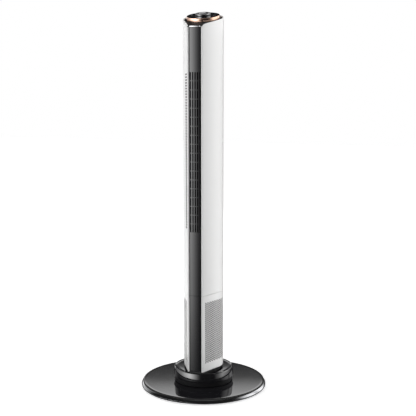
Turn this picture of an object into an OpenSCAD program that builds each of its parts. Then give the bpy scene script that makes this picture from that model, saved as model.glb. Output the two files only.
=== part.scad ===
// Bladeless tower fan on a round base: a tall white column that swings on a black turntable.
// The origin is the centre of the base on the floor, +Z is up and the air blows toward -Y.

/* [Column] */
// Radius of the round back of the column
barrel_r = 51; // [48:0.5:56]
// Angle that each flat flank turns in toward the front, in degrees
flank_angle = 25; // [23:0.5:27]
// Thickness of the white casing
wall_t = 2.6; // [2:0.1:3]
// Height of the column's lower edge above the floor
column_foot_z = 58; // [56:0.5:62]
// Height of the seam between the lower and the upper casing
seam_z = 257; // [240:1:275]
// Height of the casing's sloping top edge at the swing axis
casing_top_z = 950; // [930:1:980]
// Slope of the top toward the front, in degrees
top_tilt = 12.7; // [10:0.1:15]
// Radius of the rounded front corner of the casing's top edge
top_corner_r = 12; // [8:0.5:14]
// Open joint between the casings
seam_gap = 0.8; // [0.4:0.1:1.2]

/* [Front strip] */
// Half of the opening between the two front lips
opening_half = 15.9; // [15.5:0.1:16.4]
// How far the strip's face lies behind the front lips
strip_recess = 2.6; // [2:0.1:3.2]
// Thickness of the strip at its middle
strip_t = 3.4; // [3:0.1:4]
// Radius of the strip's bulging face
strip_bulge_r = 85; // [80:1:140]
// Height of the outlet's lowest slot end
outlet_low_z = 420.4; // [405:0.2:440]
// Width of one outlet slot
slot_w = 3.2; // [2.6:0.1:3.6]
// Distance between neighbouring slots
slot_pitch = 6.1; // [5.7:0.1:6.1]
// Distance from the casing's top edge down to the outlet's highest slot end
outlet_drop = 130; // [128:1:145]
// Height of one crossbar
crossbar_h = 1.8; // [1.4:0.1:2.4]

/* [Side inlets] */
// Length of one slanted slot in the left casing
inlet_l = 24; // [16:0.5:28]
// Height of one slanted slot
inlet_h = 3.2; // [2.4:0.1:3.6]
// Distance between neighbouring slanted slots
inlet_pitch = 6.95; // [6.2:0.05:7]
// Width across one hexagonal hole of the lower casing
mesh_hole_w = 9; // [6:0.2:10]
// Height between the rows of hexagonal holes
mesh_row_pitch = 13.2; // [11:0.1:13.4]
// Height of the lowest row of hexagonal holes
mesh_low_z = 85; // [80:0.5:90]

/* [Base] */
// Radius of the base's polished rim at its foot
rim_r = 163; // [161:0.5:175]
// How far the polished rim spreads beyond the black disc
rim_flare = 4.8; // [4:0.2:5.2]
// Height of the black disc's top above the floor
disc_top_z = 15.2; // [14.6:0.1:18]
// Thickness of the black disc
disc_t = 3; // [2:0.1:3.4]
// Height of the rubber feet below the bottom plate
foot_h = 2.6; // [2:0.1:3]
// Thickness of the bottom plate
tray_t = 2.4; // [2:0.1:2.8]

/* [Turntable] */
// Radius of the turning collar
collar_r = 77.9; // [74:0.1:82]
// Height of the collar's top above the floor
collar_top_z = 52.3; // [51:0.1:54]
// Height of the collar's lower edge
collar_low_z = 28.4; // [27.8:0.1:29.4]
// Angle that the column swings to each side, in degrees
swing_angle = 35; // [25:1:40]
// Number of teeth on the fixed ring gear
ring_teeth = 60; // [50:2:64]
// Number of teeth on the swing motor's pinion
pinion_teeth = 10; // [10:1:12]
// Tooth size, as pitch diameter over teeth
gear_module = 1.2; // [1:0.05:1.25]
// Radius of the pivot spindle
spindle_r = 10; // [8:0.2:11]

/* [Control top] */
// Distance from the casing's outer face in to the copper coloured ring
ring_gap = 8.2; // [7.4:0.1:9]
// Height of the copper coloured ring
ring_h = 10.1; // [9:0.1:12]
// Radius of the speed knob
knob_r = 19; // [16:0.2:21]
// Height of the speed knob
knob_h = 5; // [4:0.1:7]

/* [Impeller] */
// Distance from the casing's outer face in to the impeller's blades
impeller_gap = 15; // [14:0.2:18]
// Number of blades
blade_count = 24; // [18:1:28]
// Number of blade sections stacked on the axis
section_count = 4; // [3:1:6]
// Distance from the casing's outer face in to the fan motor
motor_gap = 22; // [20:0.5:25]
// Height of the fan motor
motor_h = 47; // [40:1:55]

/* [Fits] */
// Clearance of parts that slide together and stay put
fit = 0.2; // [0.15:0.01:0.3]
// Radial clearance of a shaft in its bearing
running_fit = 0.05; // [0.03:0.01:0.08]
// Gap between parts that turn past each other
turning_gap = 0.3; // [0.3:0.05:0.6]

/* [Hidden] */

$fn = 64;
overrun = 1;

// Colours, as the photograph shows them
gloss_black = "#17181a";
matte_black = "#222325";
casing_white = "#f1f1ef";
dark_chrome = "#8d9094";
copper = "#c98f6d";
steel = "#b4b7ba";
iron = "#54585c";
rubber_black = "#1b1b1b";
acetal_white = "#e6e4dc";
motor_grey = "#8f959b";
board_green = "#2e6b45";
lens_grey = "#6d7177";

// Column section
inner_r = barrel_r - wall_t;
lip_r = 2.1;
lip_depth = 2;
lip_taper = 1.6;
lip_steps = 8;
flank_step = 0.02;
column_front = lip_r
    + (barrel_r - lip_r - flank_step - (opening_half + lip_r) * cos(flank_angle)) / sin(flank_angle);
lip_y = -column_front + lip_r;

// Front strip
strip_face_y = -column_front + strip_recess;
strip_back_y = strip_face_y + strip_t;
flange_t = 2;
flange_reach = 2.3;
flange_y = strip_back_y + flange_t;
flange_half = opening_half + flange_reach;
strip_groove = 1.4;
strip_half = opening_half - strip_groove;
slot_columns = 5;
slot_rows = 18;
cell_pitch = (casing_top_z - outlet_low_z - outlet_drop) / slot_rows;
slot_field_h = cell_pitch * slot_rows - crossbar_h;
crossbar_recess = 1;
outlet_margin = 8;

// Inner plates follow the casing's section and stop behind the strip
plate_front = flange_y + fit;
plate_t = 4;

// Base
disc_r = rim_r - rim_flare;
foot_r = 11;
foot_inset_r = 31;
foot_circle_r = rim_r - foot_inset_r;
foot_stem_r = 4;
foot_bead_r = 5.5;
foot_bead_h = 1.6;
foot_count = 6;
tray_low_z = foot_h;
tray_top_z = tray_low_z + tray_t;
rim_t = 5.4;
rim_low_z = 3.4;
rim_top_z = disc_top_z - disc_t;
disc_roll_r = 2.4;
skirt_t = 2.4;
skirt_r = rim_r - rim_t - fit;
tray_r = skirt_r - skirt_t - fit;
post_r = 5;
post_count = 6;
screw_r = 1.5;
screw_head_r = 3.2;
screw_head_h = 1.8;
screw_fit = 0.05;
weight_gap = 17;
weight_r = rim_r - weight_gap;
weight_hole_r = 86;
post_circle_r = (weight_hole_r + weight_r) / 2;
weight_h = 4.4;
rib_count = 12;
rib_t = 2;

// Boss and pivot
boss_r = 76;
boss_wall_t = 3;
boss_foot_round = 3;
boss_deck_t = 3;
boss_deck_z = 27;
hub_r = 20;
bush_t = 2.3;
bush_r = spindle_r + running_fit + bush_t;
bush_flange_t = 1.5;
hub_top_z = 40;
glide_r = 70;
glide_w = 6;
glide_t = 1.1;
boss_screw_count = 4;
boss_screw_circle_r = 67.5;
boss_screw_post_r = 4;
disc_hole_r = 24;
grommet_z = 20.6;
grommet_r = 4;
grommet_flange_r = 4.9;
grommet_flange_t = 1.2;
grommet_bore_r = 2.6;

// Turntable gearing
ring_pitch_r = ring_teeth * gear_module / 2;
pinion_pitch_r = pinion_teeth * gear_module / 2;
gear_centre = ring_pitch_r - pinion_pitch_r;
gear_rim_t = 5;
gear_h = 7;
gear_low_z = boss_deck_z;
pinion_low_z = gear_low_z + overrun;
pinion_h = gear_h - overrun;
pressure_angle = 20;
addendum_share = 0.8;
dedendum_share = 1.1;
tooth_lash_share = 0.16;
pinion_shaft_r = 2.5;
gear_screw_count = 3;
gear_screw_angle = 30;
gear_lug_r = 5;
gear_lug_reach = 3.6;
gear_lug_circle_r = ring_pitch_r + gear_rim_t + gear_lug_reach;
collar_t = 3;
collar_skirt_t = 2.9;
collar_edge_w = 1.6;
collar_edge_h = 0.8;
collar_deck_z = collar_top_z - collar_edge_h;
collar_hub_r = 24;
collar_rib_h = 5;
spindle_flange_r = 18;
spindle_flange_t = 2.4;
spindle_low_z = 7.4;
spindle_bore_r = 5.5;
nut_r = 16;
nut_h = 5;
thrust_washer_t = 1.6;
stop_circle_r = 56;
stop_w = 5;
stop_half_angle = 4;
stop_slack_angle = 0.4;
stop_post_h = 11;

// Foot of the column
foot_inset = 6;
foot_plug_t = 5;
foot_screw_inset = 19;
foot_screw_x = barrel_r - foot_screw_inset;
foot_screw_y = 18;
foot_screw_l = 12;
swing_motor_r = 17.5;
swing_motor_h = 19;
swing_motor_offset = 8;
swing_motor_ear_r = 4;
swing_motor_ear_t = 1.4;

// Seam bulkhead
bulkhead_h = 14;
bulkhead_t = 2;
bulkhead_floor_t = 3;
wire_hole_r = 7;

// Power board
board_t = 1.6;
board_w = 60;
board_h = 120;
board_y = -8;
board_foot_w = 6;

// Rear grille
grille_half_angle = 52;
grille_low_z = outlet_low_z - 2 * outlet_margin;
grille_rows = 43;
grille_row_pitch = cell_pitch * slot_rows / grille_rows;
grille_frame_h = 6;
grille_h = grille_rows * grille_row_pitch + 2 * grille_frame_h;
grille_slot_h = 0.58 * grille_row_pitch;
grille_columns = 3;
grille_rib_angle = 4;
grille_edge_angle = 6;
grille_gap_angle = 0.3;
ledge_t = 2;
grille_screw_r = 1.4;

// Fan train
impeller_r = barrel_r - impeller_gap;
motor_r = barrel_r - motor_gap;
impeller_low_z = outlet_low_z - outlet_margin;
impeller_h = cell_pitch * slot_rows + 2 * outlet_margin;
impeller_top_z = impeller_low_z + impeller_h;
impeller_disc_t = 2;
blade_inner_share = 0.79;
blade_t = 1.1;
blade_sweep = 16;
blade_points = 6;
hub_cone_r = 9;
hub_cone_h = 9;
duct_floor_gap = 13;
duct_floor_z = impeller_low_z - duct_floor_gap - plate_t;
duct_ceiling_z = impeller_top_z + outlet_margin;
shaft_r = 4;
mount_h = 6;
mount_r = 6;
motor_lug_r = 6.5;
motor_lug_t = 3;
motor_lug_reach = 5;
motor_lug_circle_r = motor_r + motor_lug_reach;
motor_band_t = 1;
motor_top_z = duct_floor_z - mount_h;
bearing_r = 10;
bearing_h = 10;
bearing_flange_t = 1;
scroll_t = 1.6;
scroll_start_angle = 150;
scroll_end_angle = 218;
scroll_start_gap = 3;
scroll_end_gap = 7;
scroll_points = 10;
duct_inset = 0.8;
duct_half = opening_half - duct_inset;
tongue_gap = 3;

// Control top
deck_drop = 2.5;
deck_z = casing_top_z - deck_drop;
deck_t = 3;
deck_front_y = strip_face_y + 0.25 * strip_t;
strip_top_z = slope_z(deck_z, strip_face_y) - deck_t / cos(top_tilt) - fit;
ring_r = barrel_r - ring_gap;
ring_t = 2.2;
ring_flare = 0.7;
ring_ledge_w = 4.4;
panel_t = 3;
panel_recess = 0.6;
panel_r = ring_r - ring_t - fit;
panel_top = ring_h - panel_recess;
panel_low = panel_top - panel_t;
knob_gap = 0.4;
knob_low = panel_top + knob_gap;
knob_dish_r = 13.4;
knob_dish_depth = 2.2;
knob_edge_round = 0.9;
trim_w = 2.6;
encoder_w = 12;
encoder_shaft_r = 3;
encoder_lift = 0.8;
board_gap = 1.2;
lens_r = 3.2;
lens_gap = 13.8;
lens_circle_r = ring_r - lens_gap;
lens_t = 1;
deck_screw_count = 3;

// Half the width of the column's section at depth y, inset from the outside by i. The flank lies
// one small step inside the tangent of the round back, and so meets it at a clear angle
function flank_x(y, i) = (barrel_r - i - flank_step + y * sin(flank_angle)) / cos(flank_angle);

// The depth at which the flank passes closest to the axis
function flank_foot_y(i) = -(barrel_r - i - flank_step) * sin(flank_angle);

// Height of the sloping plane through z0 on the axis, at depth y
function slope_z(z0, y) = z0 + y * tan(top_tilt);

// A point on a circle about c
function polar(c, r, a) = [c[0] + r * cos(a), c[1] + r * sin(a)];

// Filled section of the column, inset by i and cut off at the front depth
module plan(i, front) {
    foot_y = flank_foot_y(i);
    circle(r = barrel_r - i);
    polygon([
        [-flank_x(foot_y, i), foot_y], [-flank_x(front, i), front],
        [flank_x(front, i), front], [flank_x(foot_y, i), foot_y]
    ]);
}

// Outline of the right flank and its rounded lip, from the round back to the opening
function flank_outline() = let (
    lip_cx = flank_x(lip_y, lip_r),
    sweep = 180 - flank_angle
) concat(
    [[flank_x(flank_foot_y(0), 0), flank_foot_y(0)]],
    [for (k = [lip_steps:-1:0]) polar([lip_cx, lip_y], lip_r, -180 + sweep * k / lip_steps)]
);

// Outline of the right side of the column's hollow, from the round back out through the opening
function hollow_outline() = let (
    mouth_x = flank_x(lip_y, lip_r) - lip_r,
    taper_y = lip_y + lip_depth + lip_taper
) [
    [flank_x(flank_foot_y(wall_t), wall_t), flank_foot_y(wall_t)],
    [flank_x(taper_y, wall_t), taper_y], [mouth_x, lip_y + lip_depth],
    [mouth_x, -column_front - overrun]
];

// A right side's points with their mirror image, as one closed outline
function both_sides(right) = concat(
    [for (k = [len(right) - 1:-1:0]) right[k]], [for (q = right) [-q[0], q[1]]]
);

// Section of the whole casing
module whole_wall() {
    difference() {
        union() {
            circle(r = barrel_r);
            polygon(both_sides(flank_outline()));
        }
        circle(r = inner_r);
        polygon(both_sides(hollow_outline()));
    }
}

// Everything above the casing's sloping top edge, with the rounded front corner
module above_top_edge() {
    corner_y = -column_front - overrun + top_corner_r;
    corner_z = slope_z(casing_top_z, corner_y) - top_corner_r / cos(top_tilt);
    corner_steps = 8;
    back_y = barrel_r + overrun;
    high_z = casing_top_z + barrel_r;
    translate([-2 * barrel_r, 0, 0])
        rotate([90, 0, 90])
            linear_extrude(4 * barrel_r)
                polygon(concat(
                    [for (k = [0:corner_steps])
                        polar([corner_y, corner_z], top_corner_r,
                              180 - (90 - top_tilt) * k / corner_steps)],
                    [[back_y, slope_z(casing_top_z, back_y)], [back_y, high_z],
                     [-column_front - 2 * overrun, high_z], [-column_front - 2 * overrun, corner_z]]
                ));
}

// Sector of a tube between two angles, for casings and grilles
module tube_sector(r_out, r_in, z0, h, a0, a1) {
    translate([0, 0, z0])
        rotate([0, 0, a0])
            rotate_extrude(angle = a1 - a0)
                translate([r_in, 0]) square([r_out - r_in, h]);
}

// A plain washer or tube
module tube(r_out, r_in, z0, h) {
    translate([0, 0, z0])
        difference() {
            cylinder(r = r_out, h = h);
            translate([0, 0, -overrun]) cylinder(r = r_in, h = h + 2 * overrun);
        }
}

// Places copies evenly on a circle
module around(count, r, first = 0) {
    for (k = [0:count - 1])
        rotate([0, 0, first + 360 * k / count]) translate([r, 0, 0]) children();
}

// Screw with a countersunk head whose flat side faces down
module countersunk_screw(length) {
    cylinder(r1 = screw_head_r, r2 = screw_r - screw_fit, h = screw_head_h, $fn = 24);
    cylinder(r = screw_r - screw_fit, h = length, $fn = 24);
}

// Hole that fits the countersunk screw
module countersunk_hole(length) {
    translate([0, 0, -overrun])
        cylinder(r1 = screw_head_r + overrun, r2 = screw_r, h = screw_head_h + overrun, $fn = 24);
    translate([0, 0, -overrun]) cylinder(r = screw_r, h = length + overrun, $fn = 24);
}

// Screw with a domed head above z = 0 and a shank below it
module pan_screw(length, r = screw_r) {
    cylinder(r1 = screw_head_r, r2 = screw_head_r * 0.7, h = screw_head_h, $fn = 24);
    translate([0, 0, -length]) cylinder(r = r - screw_fit, h = length + screw_fit, $fn = 24);
}

// The frame of the sloping top: z = 0 is the deck, +Z stands square to it
module on_top() {
    translate([0, 0, deck_z]) rotate([top_tilt, 0, 0]) children();
}

// Involute tooth flank point at roll angle t from a base circle
function involute(rb, t) = [rb * (cos(t) + t * PI / 180 * sin(t)), rb * (sin(t) - t * PI / 180 * cos(t))];
function involute_roll(rb, r) = sqrt(max(0, r * r / (rb * rb) - 1)) * 180 / PI;
function point_angle(p) = atan2(p[1], p[0]);

// Outline of a spur gear; lash thins each tooth by that share of the pitch
module gear_outline(teeth, tip_share, root_share, lash_share) {
    pitch_r = teeth * gear_module / 2;
    base_r = pitch_r * cos(pressure_angle);
    tip_r = pitch_r + tip_share * gear_module;
    root_r = pitch_r - root_share * gear_module;
    start_r = max(base_r, root_r);
    flank_steps = 4;
    pitch_angle = point_angle(involute(base_r, involute_roll(base_r, pitch_r)));
    half_tooth = 90 / teeth * (1 - 2 * lash_share) + pitch_angle;
    radii = [for (k = [0:flank_steps]) start_r + (tip_r - start_r) * k / flank_steps];
    flank = [for (r = radii) let (p = involute(base_r, involute_roll(base_r, r)))
        [norm(p), half_tooth - point_angle(p)]];
    half = concat([[root_r, half_tooth]], flank);
    polygon([for (k = [0:teeth - 1]) let (a = 90 + 360 * k / teeth)
        each concat(
            [for (q = half) polar([0, 0], q[0], a - q[1])],
            [for (j = [len(half) - 1:-1:0]) polar([0, 0], half[j][0], a + half[j][1])]
        )]);
}

// Base

module base_disc() {
    color(gloss_black)
    difference() {
        union() {
            rotate_extrude($fn = 128)
                polygon(concat(
                    [[disc_hole_r, disc_top_z], [disc_hole_r, disc_top_z - disc_t],
                     [skirt_r - skirt_t, disc_top_z - disc_t], [skirt_r - skirt_t, tray_low_z],
                     [skirt_r, tray_low_z], [skirt_r, disc_top_z - disc_t],
                     [disc_r, disc_top_z - disc_t]],
                    [for (a = [0:15:90])
                        polar([disc_r - disc_roll_r, disc_top_z - disc_roll_r], disc_roll_r, a)]
                ));
            around(post_count, post_circle_r)
                translate([0, 0, tray_top_z])
                    cylinder(r = post_r, h = disc_top_z - disc_t - tray_top_z + disc_t / 2);
            around(rib_count, weight_hole_r, 180 / rib_count)
                translate([0, -rib_t / 2, tray_top_z + weight_h + fit])
                    cube([weight_r - weight_hole_r, rib_t,
                          disc_top_z - disc_t / 2 - tray_top_z - weight_h - fit]);
        }
        around(post_count, post_circle_r)
            cylinder(r = screw_r, h = disc_top_z - disc_t);
        around(boss_screw_count, boss_screw_circle_r, 45)
            translate([0, 0, disc_top_z - disc_t]) countersunk_hole(disc_t + overrun);
    }
}

module base_rim() {
    color(dark_chrome)
    rotate_extrude($fn = 128)
        polygon(concat(
            [[rim_r - rim_t, rim_low_z], [rim_r - overrun, rim_low_z]],
            [for (a = [0:15:90])
                [disc_r + rim_flare * cos(a), rim_low_z + overrun + (rim_top_z - rim_low_z - overrun) * sin(a)]],
            [[rim_r - rim_t, rim_top_z]]
        ));
}

module base_tray() {
    color(matte_black)
    difference() {
        translate([0, 0, tray_low_z]) cylinder(r = tray_r, h = tray_t, $fn = 128);
        around(post_count, post_circle_r)
            translate([0, 0, tray_low_z]) countersunk_hole(tray_t + overrun);
        around(foot_count, foot_circle_r, 180 / foot_count)
            cylinder(r = foot_stem_r, h = disc_top_z);
    }
}

module base_weight() {
    color(iron)
    difference() {
        tube(weight_r, weight_hole_r, tray_top_z, weight_h);
        around(post_count, post_circle_r)
            cylinder(r = post_r + fit, h = disc_top_z);
        around(foot_count, foot_circle_r, 180 / foot_count)
            cylinder(r = foot_bead_r + fit, h = disc_top_z);
    }
}

module rubber_feet() {
    color(rubber_black)
    around(foot_count, foot_circle_r, 180 / foot_count)
        rotate_extrude($fn = 32)
            polygon([
                [0, 0], [foot_r - foot_h / 4, 0], [foot_r, foot_h / 4], [foot_r, foot_h],
                [foot_stem_r, foot_h], [foot_stem_r, tray_top_z], [foot_bead_r, tray_top_z],
                [foot_stem_r, tray_top_z + foot_bead_h], [0, tray_top_z + foot_bead_h]
            ]);
}

module tray_screws() {
    color(steel)
    around(post_count, post_circle_r)
        translate([0, 0, tray_low_z]) countersunk_screw(disc_top_z - disc_t - tray_low_z - overrun);
}

// Boss, bush and ring gear stand still while the column swings

module boss_body() {
    color(matte_black)
    difference() {
        union() {
            rotate_extrude($fn = 128)
                polygon(concat(
                    [[boss_r - boss_wall_t - boss_foot_round, disc_top_z]],
                    [for (a = [-90:15:0])
                        polar([boss_r - boss_foot_round, disc_top_z + boss_foot_round],
                              boss_foot_round, a)],
                    [[boss_r, collar_low_z - turning_gap],
                     [boss_r - boss_wall_t, collar_low_z - turning_gap],
                     [boss_r - boss_wall_t, boss_deck_z], [hub_r, boss_deck_z],
                     [hub_r, hub_top_z], [bush_r, hub_top_z], [bush_r, disc_top_z],
                     [hub_r, disc_top_z], [hub_r, boss_deck_z - boss_deck_t],
                     [boss_r - boss_wall_t - boss_foot_round, boss_deck_z - boss_deck_t]]
                ));
            around(boss_screw_count, boss_screw_circle_r, 45)
                translate([0, 0, disc_top_z])
                    cylinder(r = boss_screw_post_r, h = boss_deck_z - disc_top_z - boss_deck_t / 2);
            around(gear_screw_count, gear_lug_circle_r, gear_screw_angle)
                translate([0, 0, disc_top_z + boss_deck_t])
                    cylinder(r = gear_lug_r - overrun,
                             h = boss_deck_z - disc_top_z - boss_deck_t * 1.5);
            tube_sector(stop_circle_r + stop_w, stop_circle_r, boss_deck_z - boss_deck_t / 2,
                        boss_deck_t / 2 + stop_post_h, -90 - stop_half_angle, -90 + stop_half_angle);
        }
        around(boss_screw_count, boss_screw_circle_r, 45)
            cylinder(r = screw_r, h = boss_deck_z - boss_deck_t);
        around(gear_screw_count, gear_lug_circle_r, gear_screw_angle)
            translate([0, 0, disc_top_z + 2 * boss_deck_t]) cylinder(r = screw_r, h = boss_deck_z);
        translate([0, boss_r - 2 * boss_wall_t, grommet_z])
            rotate([-90, 0, 0]) cylinder(r = grommet_r, h = boss_wall_t * 3);
        translate([0, boss_r - grommet_flange_t, grommet_z])
            rotate([-90, 0, 0]) cylinder(r = grommet_flange_r, h = boss_wall_t * 3);
    }
}

module boss_screws() {
    color(steel)
    around(boss_screw_count, boss_screw_circle_r, 45)
        translate([0, 0, disc_top_z - disc_t])
            countersunk_screw(boss_deck_z - boss_deck_t - disc_top_z + disc_t - overrun);
}

module pivot_bush() {
    color(acetal_white)
    rotate_extrude()
        polygon([
            [spindle_r + running_fit, disc_top_z], [bush_r, disc_top_z], [bush_r, hub_top_z],
            [hub_r, hub_top_z], [hub_r, hub_top_z + bush_flange_t],
            [spindle_r + running_fit, hub_top_z + bush_flange_t]
        ]);
}

module glide_ring() {
    color(acetal_white)
    tube(glide_r, glide_r - glide_w, boss_deck_z, glide_t);
}

module ring_gear() {
    color(acetal_white)
    difference() {
        union() {
            translate([0, 0, gear_low_z]) cylinder(r = ring_pitch_r + gear_rim_t, h = gear_h, $fn = 128);
            around(gear_screw_count, gear_lug_circle_r, gear_screw_angle)
                translate([0, 0, gear_low_z]) cylinder(r = gear_lug_r, h = gear_h / 2, $fn = 32);
        }
        translate([0, 0, gear_low_z - overrun])
            linear_extrude(gear_h + 2 * overrun)
                gear_outline(ring_teeth, dedendum_share, addendum_share, -tooth_lash_share / 2);
        around(gear_screw_count, gear_lug_circle_r, gear_screw_angle)
            translate([0, 0, gear_low_z - overrun]) cylinder(r = screw_r, h = gear_h, $fn = 24);
    }
}

module gear_screws() {
    color(steel)
    around(gear_screw_count, gear_lug_circle_r, gear_screw_angle)
        translate([0, 0, gear_low_z + gear_h / 2]) pan_screw(gear_h);
}

module cord_grommet() {
    color(rubber_black)
    translate([0, boss_r - boss_wall_t, grommet_z])
        rotate([-90, 0, 0])
            rotate_extrude($fn = 32)
                polygon([
                    [grommet_bore_r, -overrun], [grommet_r, -overrun],
                    [grommet_r, boss_wall_t - grommet_flange_t],
                    [grommet_flange_r, boss_wall_t - grommet_flange_t],
                    [grommet_flange_r, boss_wall_t + grommet_flange_t / 2],
                    [grommet_bore_r, boss_wall_t + grommet_flange_t / 2]
                ]);
}

// Turntable, spindle and swing drive turn with the column

module turntable_collar() {
    deck_low_z = collar_deck_z - collar_t;
    stop_low_z = boss_deck_z + stop_post_h * 0.8;
    color(gloss_black)
    difference() {
        union() {
            rotate_extrude($fn = 128)
                polygon([
                    [spindle_r, hub_top_z + bush_flange_t + turning_gap],
                    [collar_hub_r, hub_top_z + bush_flange_t + turning_gap],
                    [collar_hub_r, deck_low_z],
                    [glide_r - glide_w, deck_low_z],
                    [glide_r - glide_w, boss_deck_z + glide_t + turning_gap],
                    [glide_r - glide_w / 2, boss_deck_z + glide_t + turning_gap],
                    [glide_r - glide_w / 2, deck_low_z],
                    [collar_r - collar_skirt_t, deck_low_z],
                    [collar_r - collar_skirt_t, collar_low_z], [collar_r, collar_low_z],
                    [collar_r, collar_top_z - collar_edge_h],
                    [collar_r - collar_edge_h, collar_top_z],
                    [collar_r - collar_edge_w, collar_top_z],
                    [collar_r - collar_edge_w, collar_deck_z], [spindle_r, collar_deck_z]
                ]);
            for (a = [0:30:330])
                rotate([0, 0, a + 15])
                    translate([collar_hub_r - overrun, -rib_t / 2, deck_low_z - collar_rib_h])
                        cube([glide_r - glide_w - collar_hub_r + 2 * overrun, rib_t,
                              collar_rib_h + overrun]);
            for (side = [-1, 1])
                rotate([0, 0, side * (swing_angle + 2 * stop_half_angle + stop_slack_angle)])
                    tube_sector(stop_circle_r + stop_w, stop_circle_r, stop_low_z,
                                deck_low_z - stop_low_z + overrun,
                                -90 - stop_half_angle, -90 + stop_half_angle);
        }
        translate([0, gear_centre, 0])
            cylinder(r = pinion_shaft_r + 2 * turning_gap, h = casing_top_z / 2, $fn = 32);
        for (x = [-1, 1], y = [-1, 1])
            translate([x * foot_screw_x, y * foot_screw_y, deck_low_z])
                countersunk_hole(foot_screw_l);
    }
}

module pivot_spindle() {
    flange_z = collar_deck_z;
    color(steel)
    rotate_extrude()
        polygon([
            [spindle_bore_r, spindle_low_z], [spindle_r, spindle_low_z], [spindle_r, flange_z],
            [spindle_flange_r, flange_z], [spindle_flange_r, flange_z + spindle_flange_t],
            [spindle_bore_r, flange_z + spindle_flange_t]
        ]);
}

module spindle_nut() {
    washer_z = disc_top_z - turning_gap - thrust_washer_t;
    color(steel)
    difference() {
        union() {
            translate([0, 0, washer_z]) cylinder(r = nut_r, h = thrust_washer_t);
            translate([0, 0, washer_z - nut_h]) cylinder(r = nut_r - overrun, h = nut_h, $fn = 6);
        }
        cylinder(r = spindle_r, h = hub_top_z);
    }
}

module column_foot() {
    color(matte_black)
    difference() {
        union() {
            translate([0, 0, collar_deck_z])
                linear_extrude(column_foot_z - collar_deck_z) plan(foot_inset, -column_front + foot_inset);
            translate([0, 0, column_foot_z])
                linear_extrude(foot_plug_t) plan(wall_t + fit, plate_front);
        }
        translate([0, 0, collar_deck_z - overrun])
            cylinder(r = spindle_flange_r + fit, h = overrun + spindle_flange_t + fit);
        cylinder(r = spindle_bore_r, h = casing_top_z);
        translate([0, gear_centre, 0])
            cylinder(r = pinion_shaft_r + 2 * turning_gap, h = casing_top_z, $fn = 32);
        for (x = [-1, 1], y = [-1, 1])
            translate([x * foot_screw_x, y * foot_screw_y, collar_deck_z - overrun])
                cylinder(r = screw_r, h = foot_screw_l - collar_t + overrun, $fn = 24);
    }
}

module foot_screws() {
    color(steel)
    for (x = [-1, 1], y = [-1, 1])
        translate([x * foot_screw_x, y * foot_screw_y, collar_deck_z - collar_t])
            countersunk_screw(foot_screw_l - overrun);
}

module swing_motor() {
    floor_z = column_foot_z + foot_plug_t;
    color(motor_grey)
    translate([0, gear_centre - swing_motor_offset, floor_z])
        difference() {
            union() {
                cylinder(r = swing_motor_r, h = swing_motor_h);
                for (side = [-1, 1]) {
                    translate([side * (swing_motor_r + swing_motor_ear_r / 2), 0, 0])
                        cylinder(r = swing_motor_ear_r, h = swing_motor_ear_t, $fn = 32);
                    translate([side * (swing_motor_r + swing_motor_ear_r / 2), 0, 0])
                        cylinder(r = screw_head_r - fit, h = swing_motor_ear_t + screw_head_h, $fn = 32);
                }
            }
            translate([0, swing_motor_offset, -overrun])
                cylinder(r = pinion_shaft_r + running_fit, h = swing_motor_h / 2 + overrun, $fn = 32);
        }
}

module swing_pinion() {
    color(acetal_white)
    translate([0, gear_centre, pinion_low_z]) {
        linear_extrude(pinion_h)
            gear_outline(pinion_teeth, addendum_share, dedendum_share, tooth_lash_share / 2);
        cylinder(r = pinion_shaft_r, h = column_foot_z + foot_plug_t + swing_motor_h / 3 - pinion_low_z,
                 $fn = 32);
    }
}

// Lower casing

// Cutter for one hexagonal hole that looks along +X
module mesh_hole() {
    rotate([0, 90, 0]) cylinder(r = mesh_hole_w / 2 / cos(30), h = 6 * wall_t, $fn = 6);
}

module lower_shell() {
    rows = 12;
    flank_pitch = mesh_hole_w * 1.5;
    flank_holes = 3;
    back_holes = 7;
    back_span = 90 + flank_angle;
    color(casing_white)
    difference() {
        translate([0, 0, column_foot_z])
            linear_extrude(seam_z - column_foot_z - seam_gap / 2) whole_wall();
        for (side = [0, 1], row = [0:rows - 1])
            mirror([side, 0, 0]) {
                z = mesh_low_z + row * mesh_row_pitch;
                shift = (row % 2) / 2;
                rotate([0, 0, -flank_angle])
                    for (k = [0:flank_holes - 1])
                        translate([inner_r - 2 * wall_t, -(k + shift + 0.25) * flank_pitch, z]) mesh_hole();
                for (k = [0:back_holes - 1])
                    rotate([0, 0, -flank_angle + back_span * (k + 1 - shift) / (back_holes + 0.5)])
                        translate([inner_r - 2 * wall_t, 0, z]) mesh_hole();
            }
    }
}

// Section of the glossy front strip with the flanges that hold it behind the lips
module strip_section() {
    intersection() {
        translate([0, strip_face_y + strip_bulge_r]) circle(r = strip_bulge_r, $fn = 128);
        translate([-strip_half, strip_face_y - overrun]) square([2 * strip_half, strip_t + overrun]);
    }
    translate([-flange_half, strip_back_y]) square([2 * flange_half, flange_t]);
}

module lower_strip() {
    color(gloss_black)
    translate([0, 0, column_foot_z])
        linear_extrude(seam_z - column_foot_z - seam_gap / 2) strip_section();
}

module power_board() {
    face_y = board_y - board_t;
    floor_z = column_foot_z + foot_plug_t;
    color(board_green)
    translate([-board_w / 2, face_y, floor_z]) cube([board_w, board_t, board_h]);
    color(steel)
    for (side = [-1, 1])
        translate([side * board_w / 3 - board_foot_w / 2, board_y, floor_z])
            cube([board_foot_w, board_foot_w, board_foot_w]);
    color(rubber_black) {
        translate([-board_w / 3, face_y - board_w / 3, floor_z + board_h / 5])
            cube([board_w / 3, board_w / 3, board_h / 4]);
        for (k = [0:2])
            translate([board_w / 5, face_y, floor_z + board_h / 4 + k * board_h / 5])
                rotate([90, 0, 0]) cylinder(r = board_w / 9, h = board_w / 4);
    }
}

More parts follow.
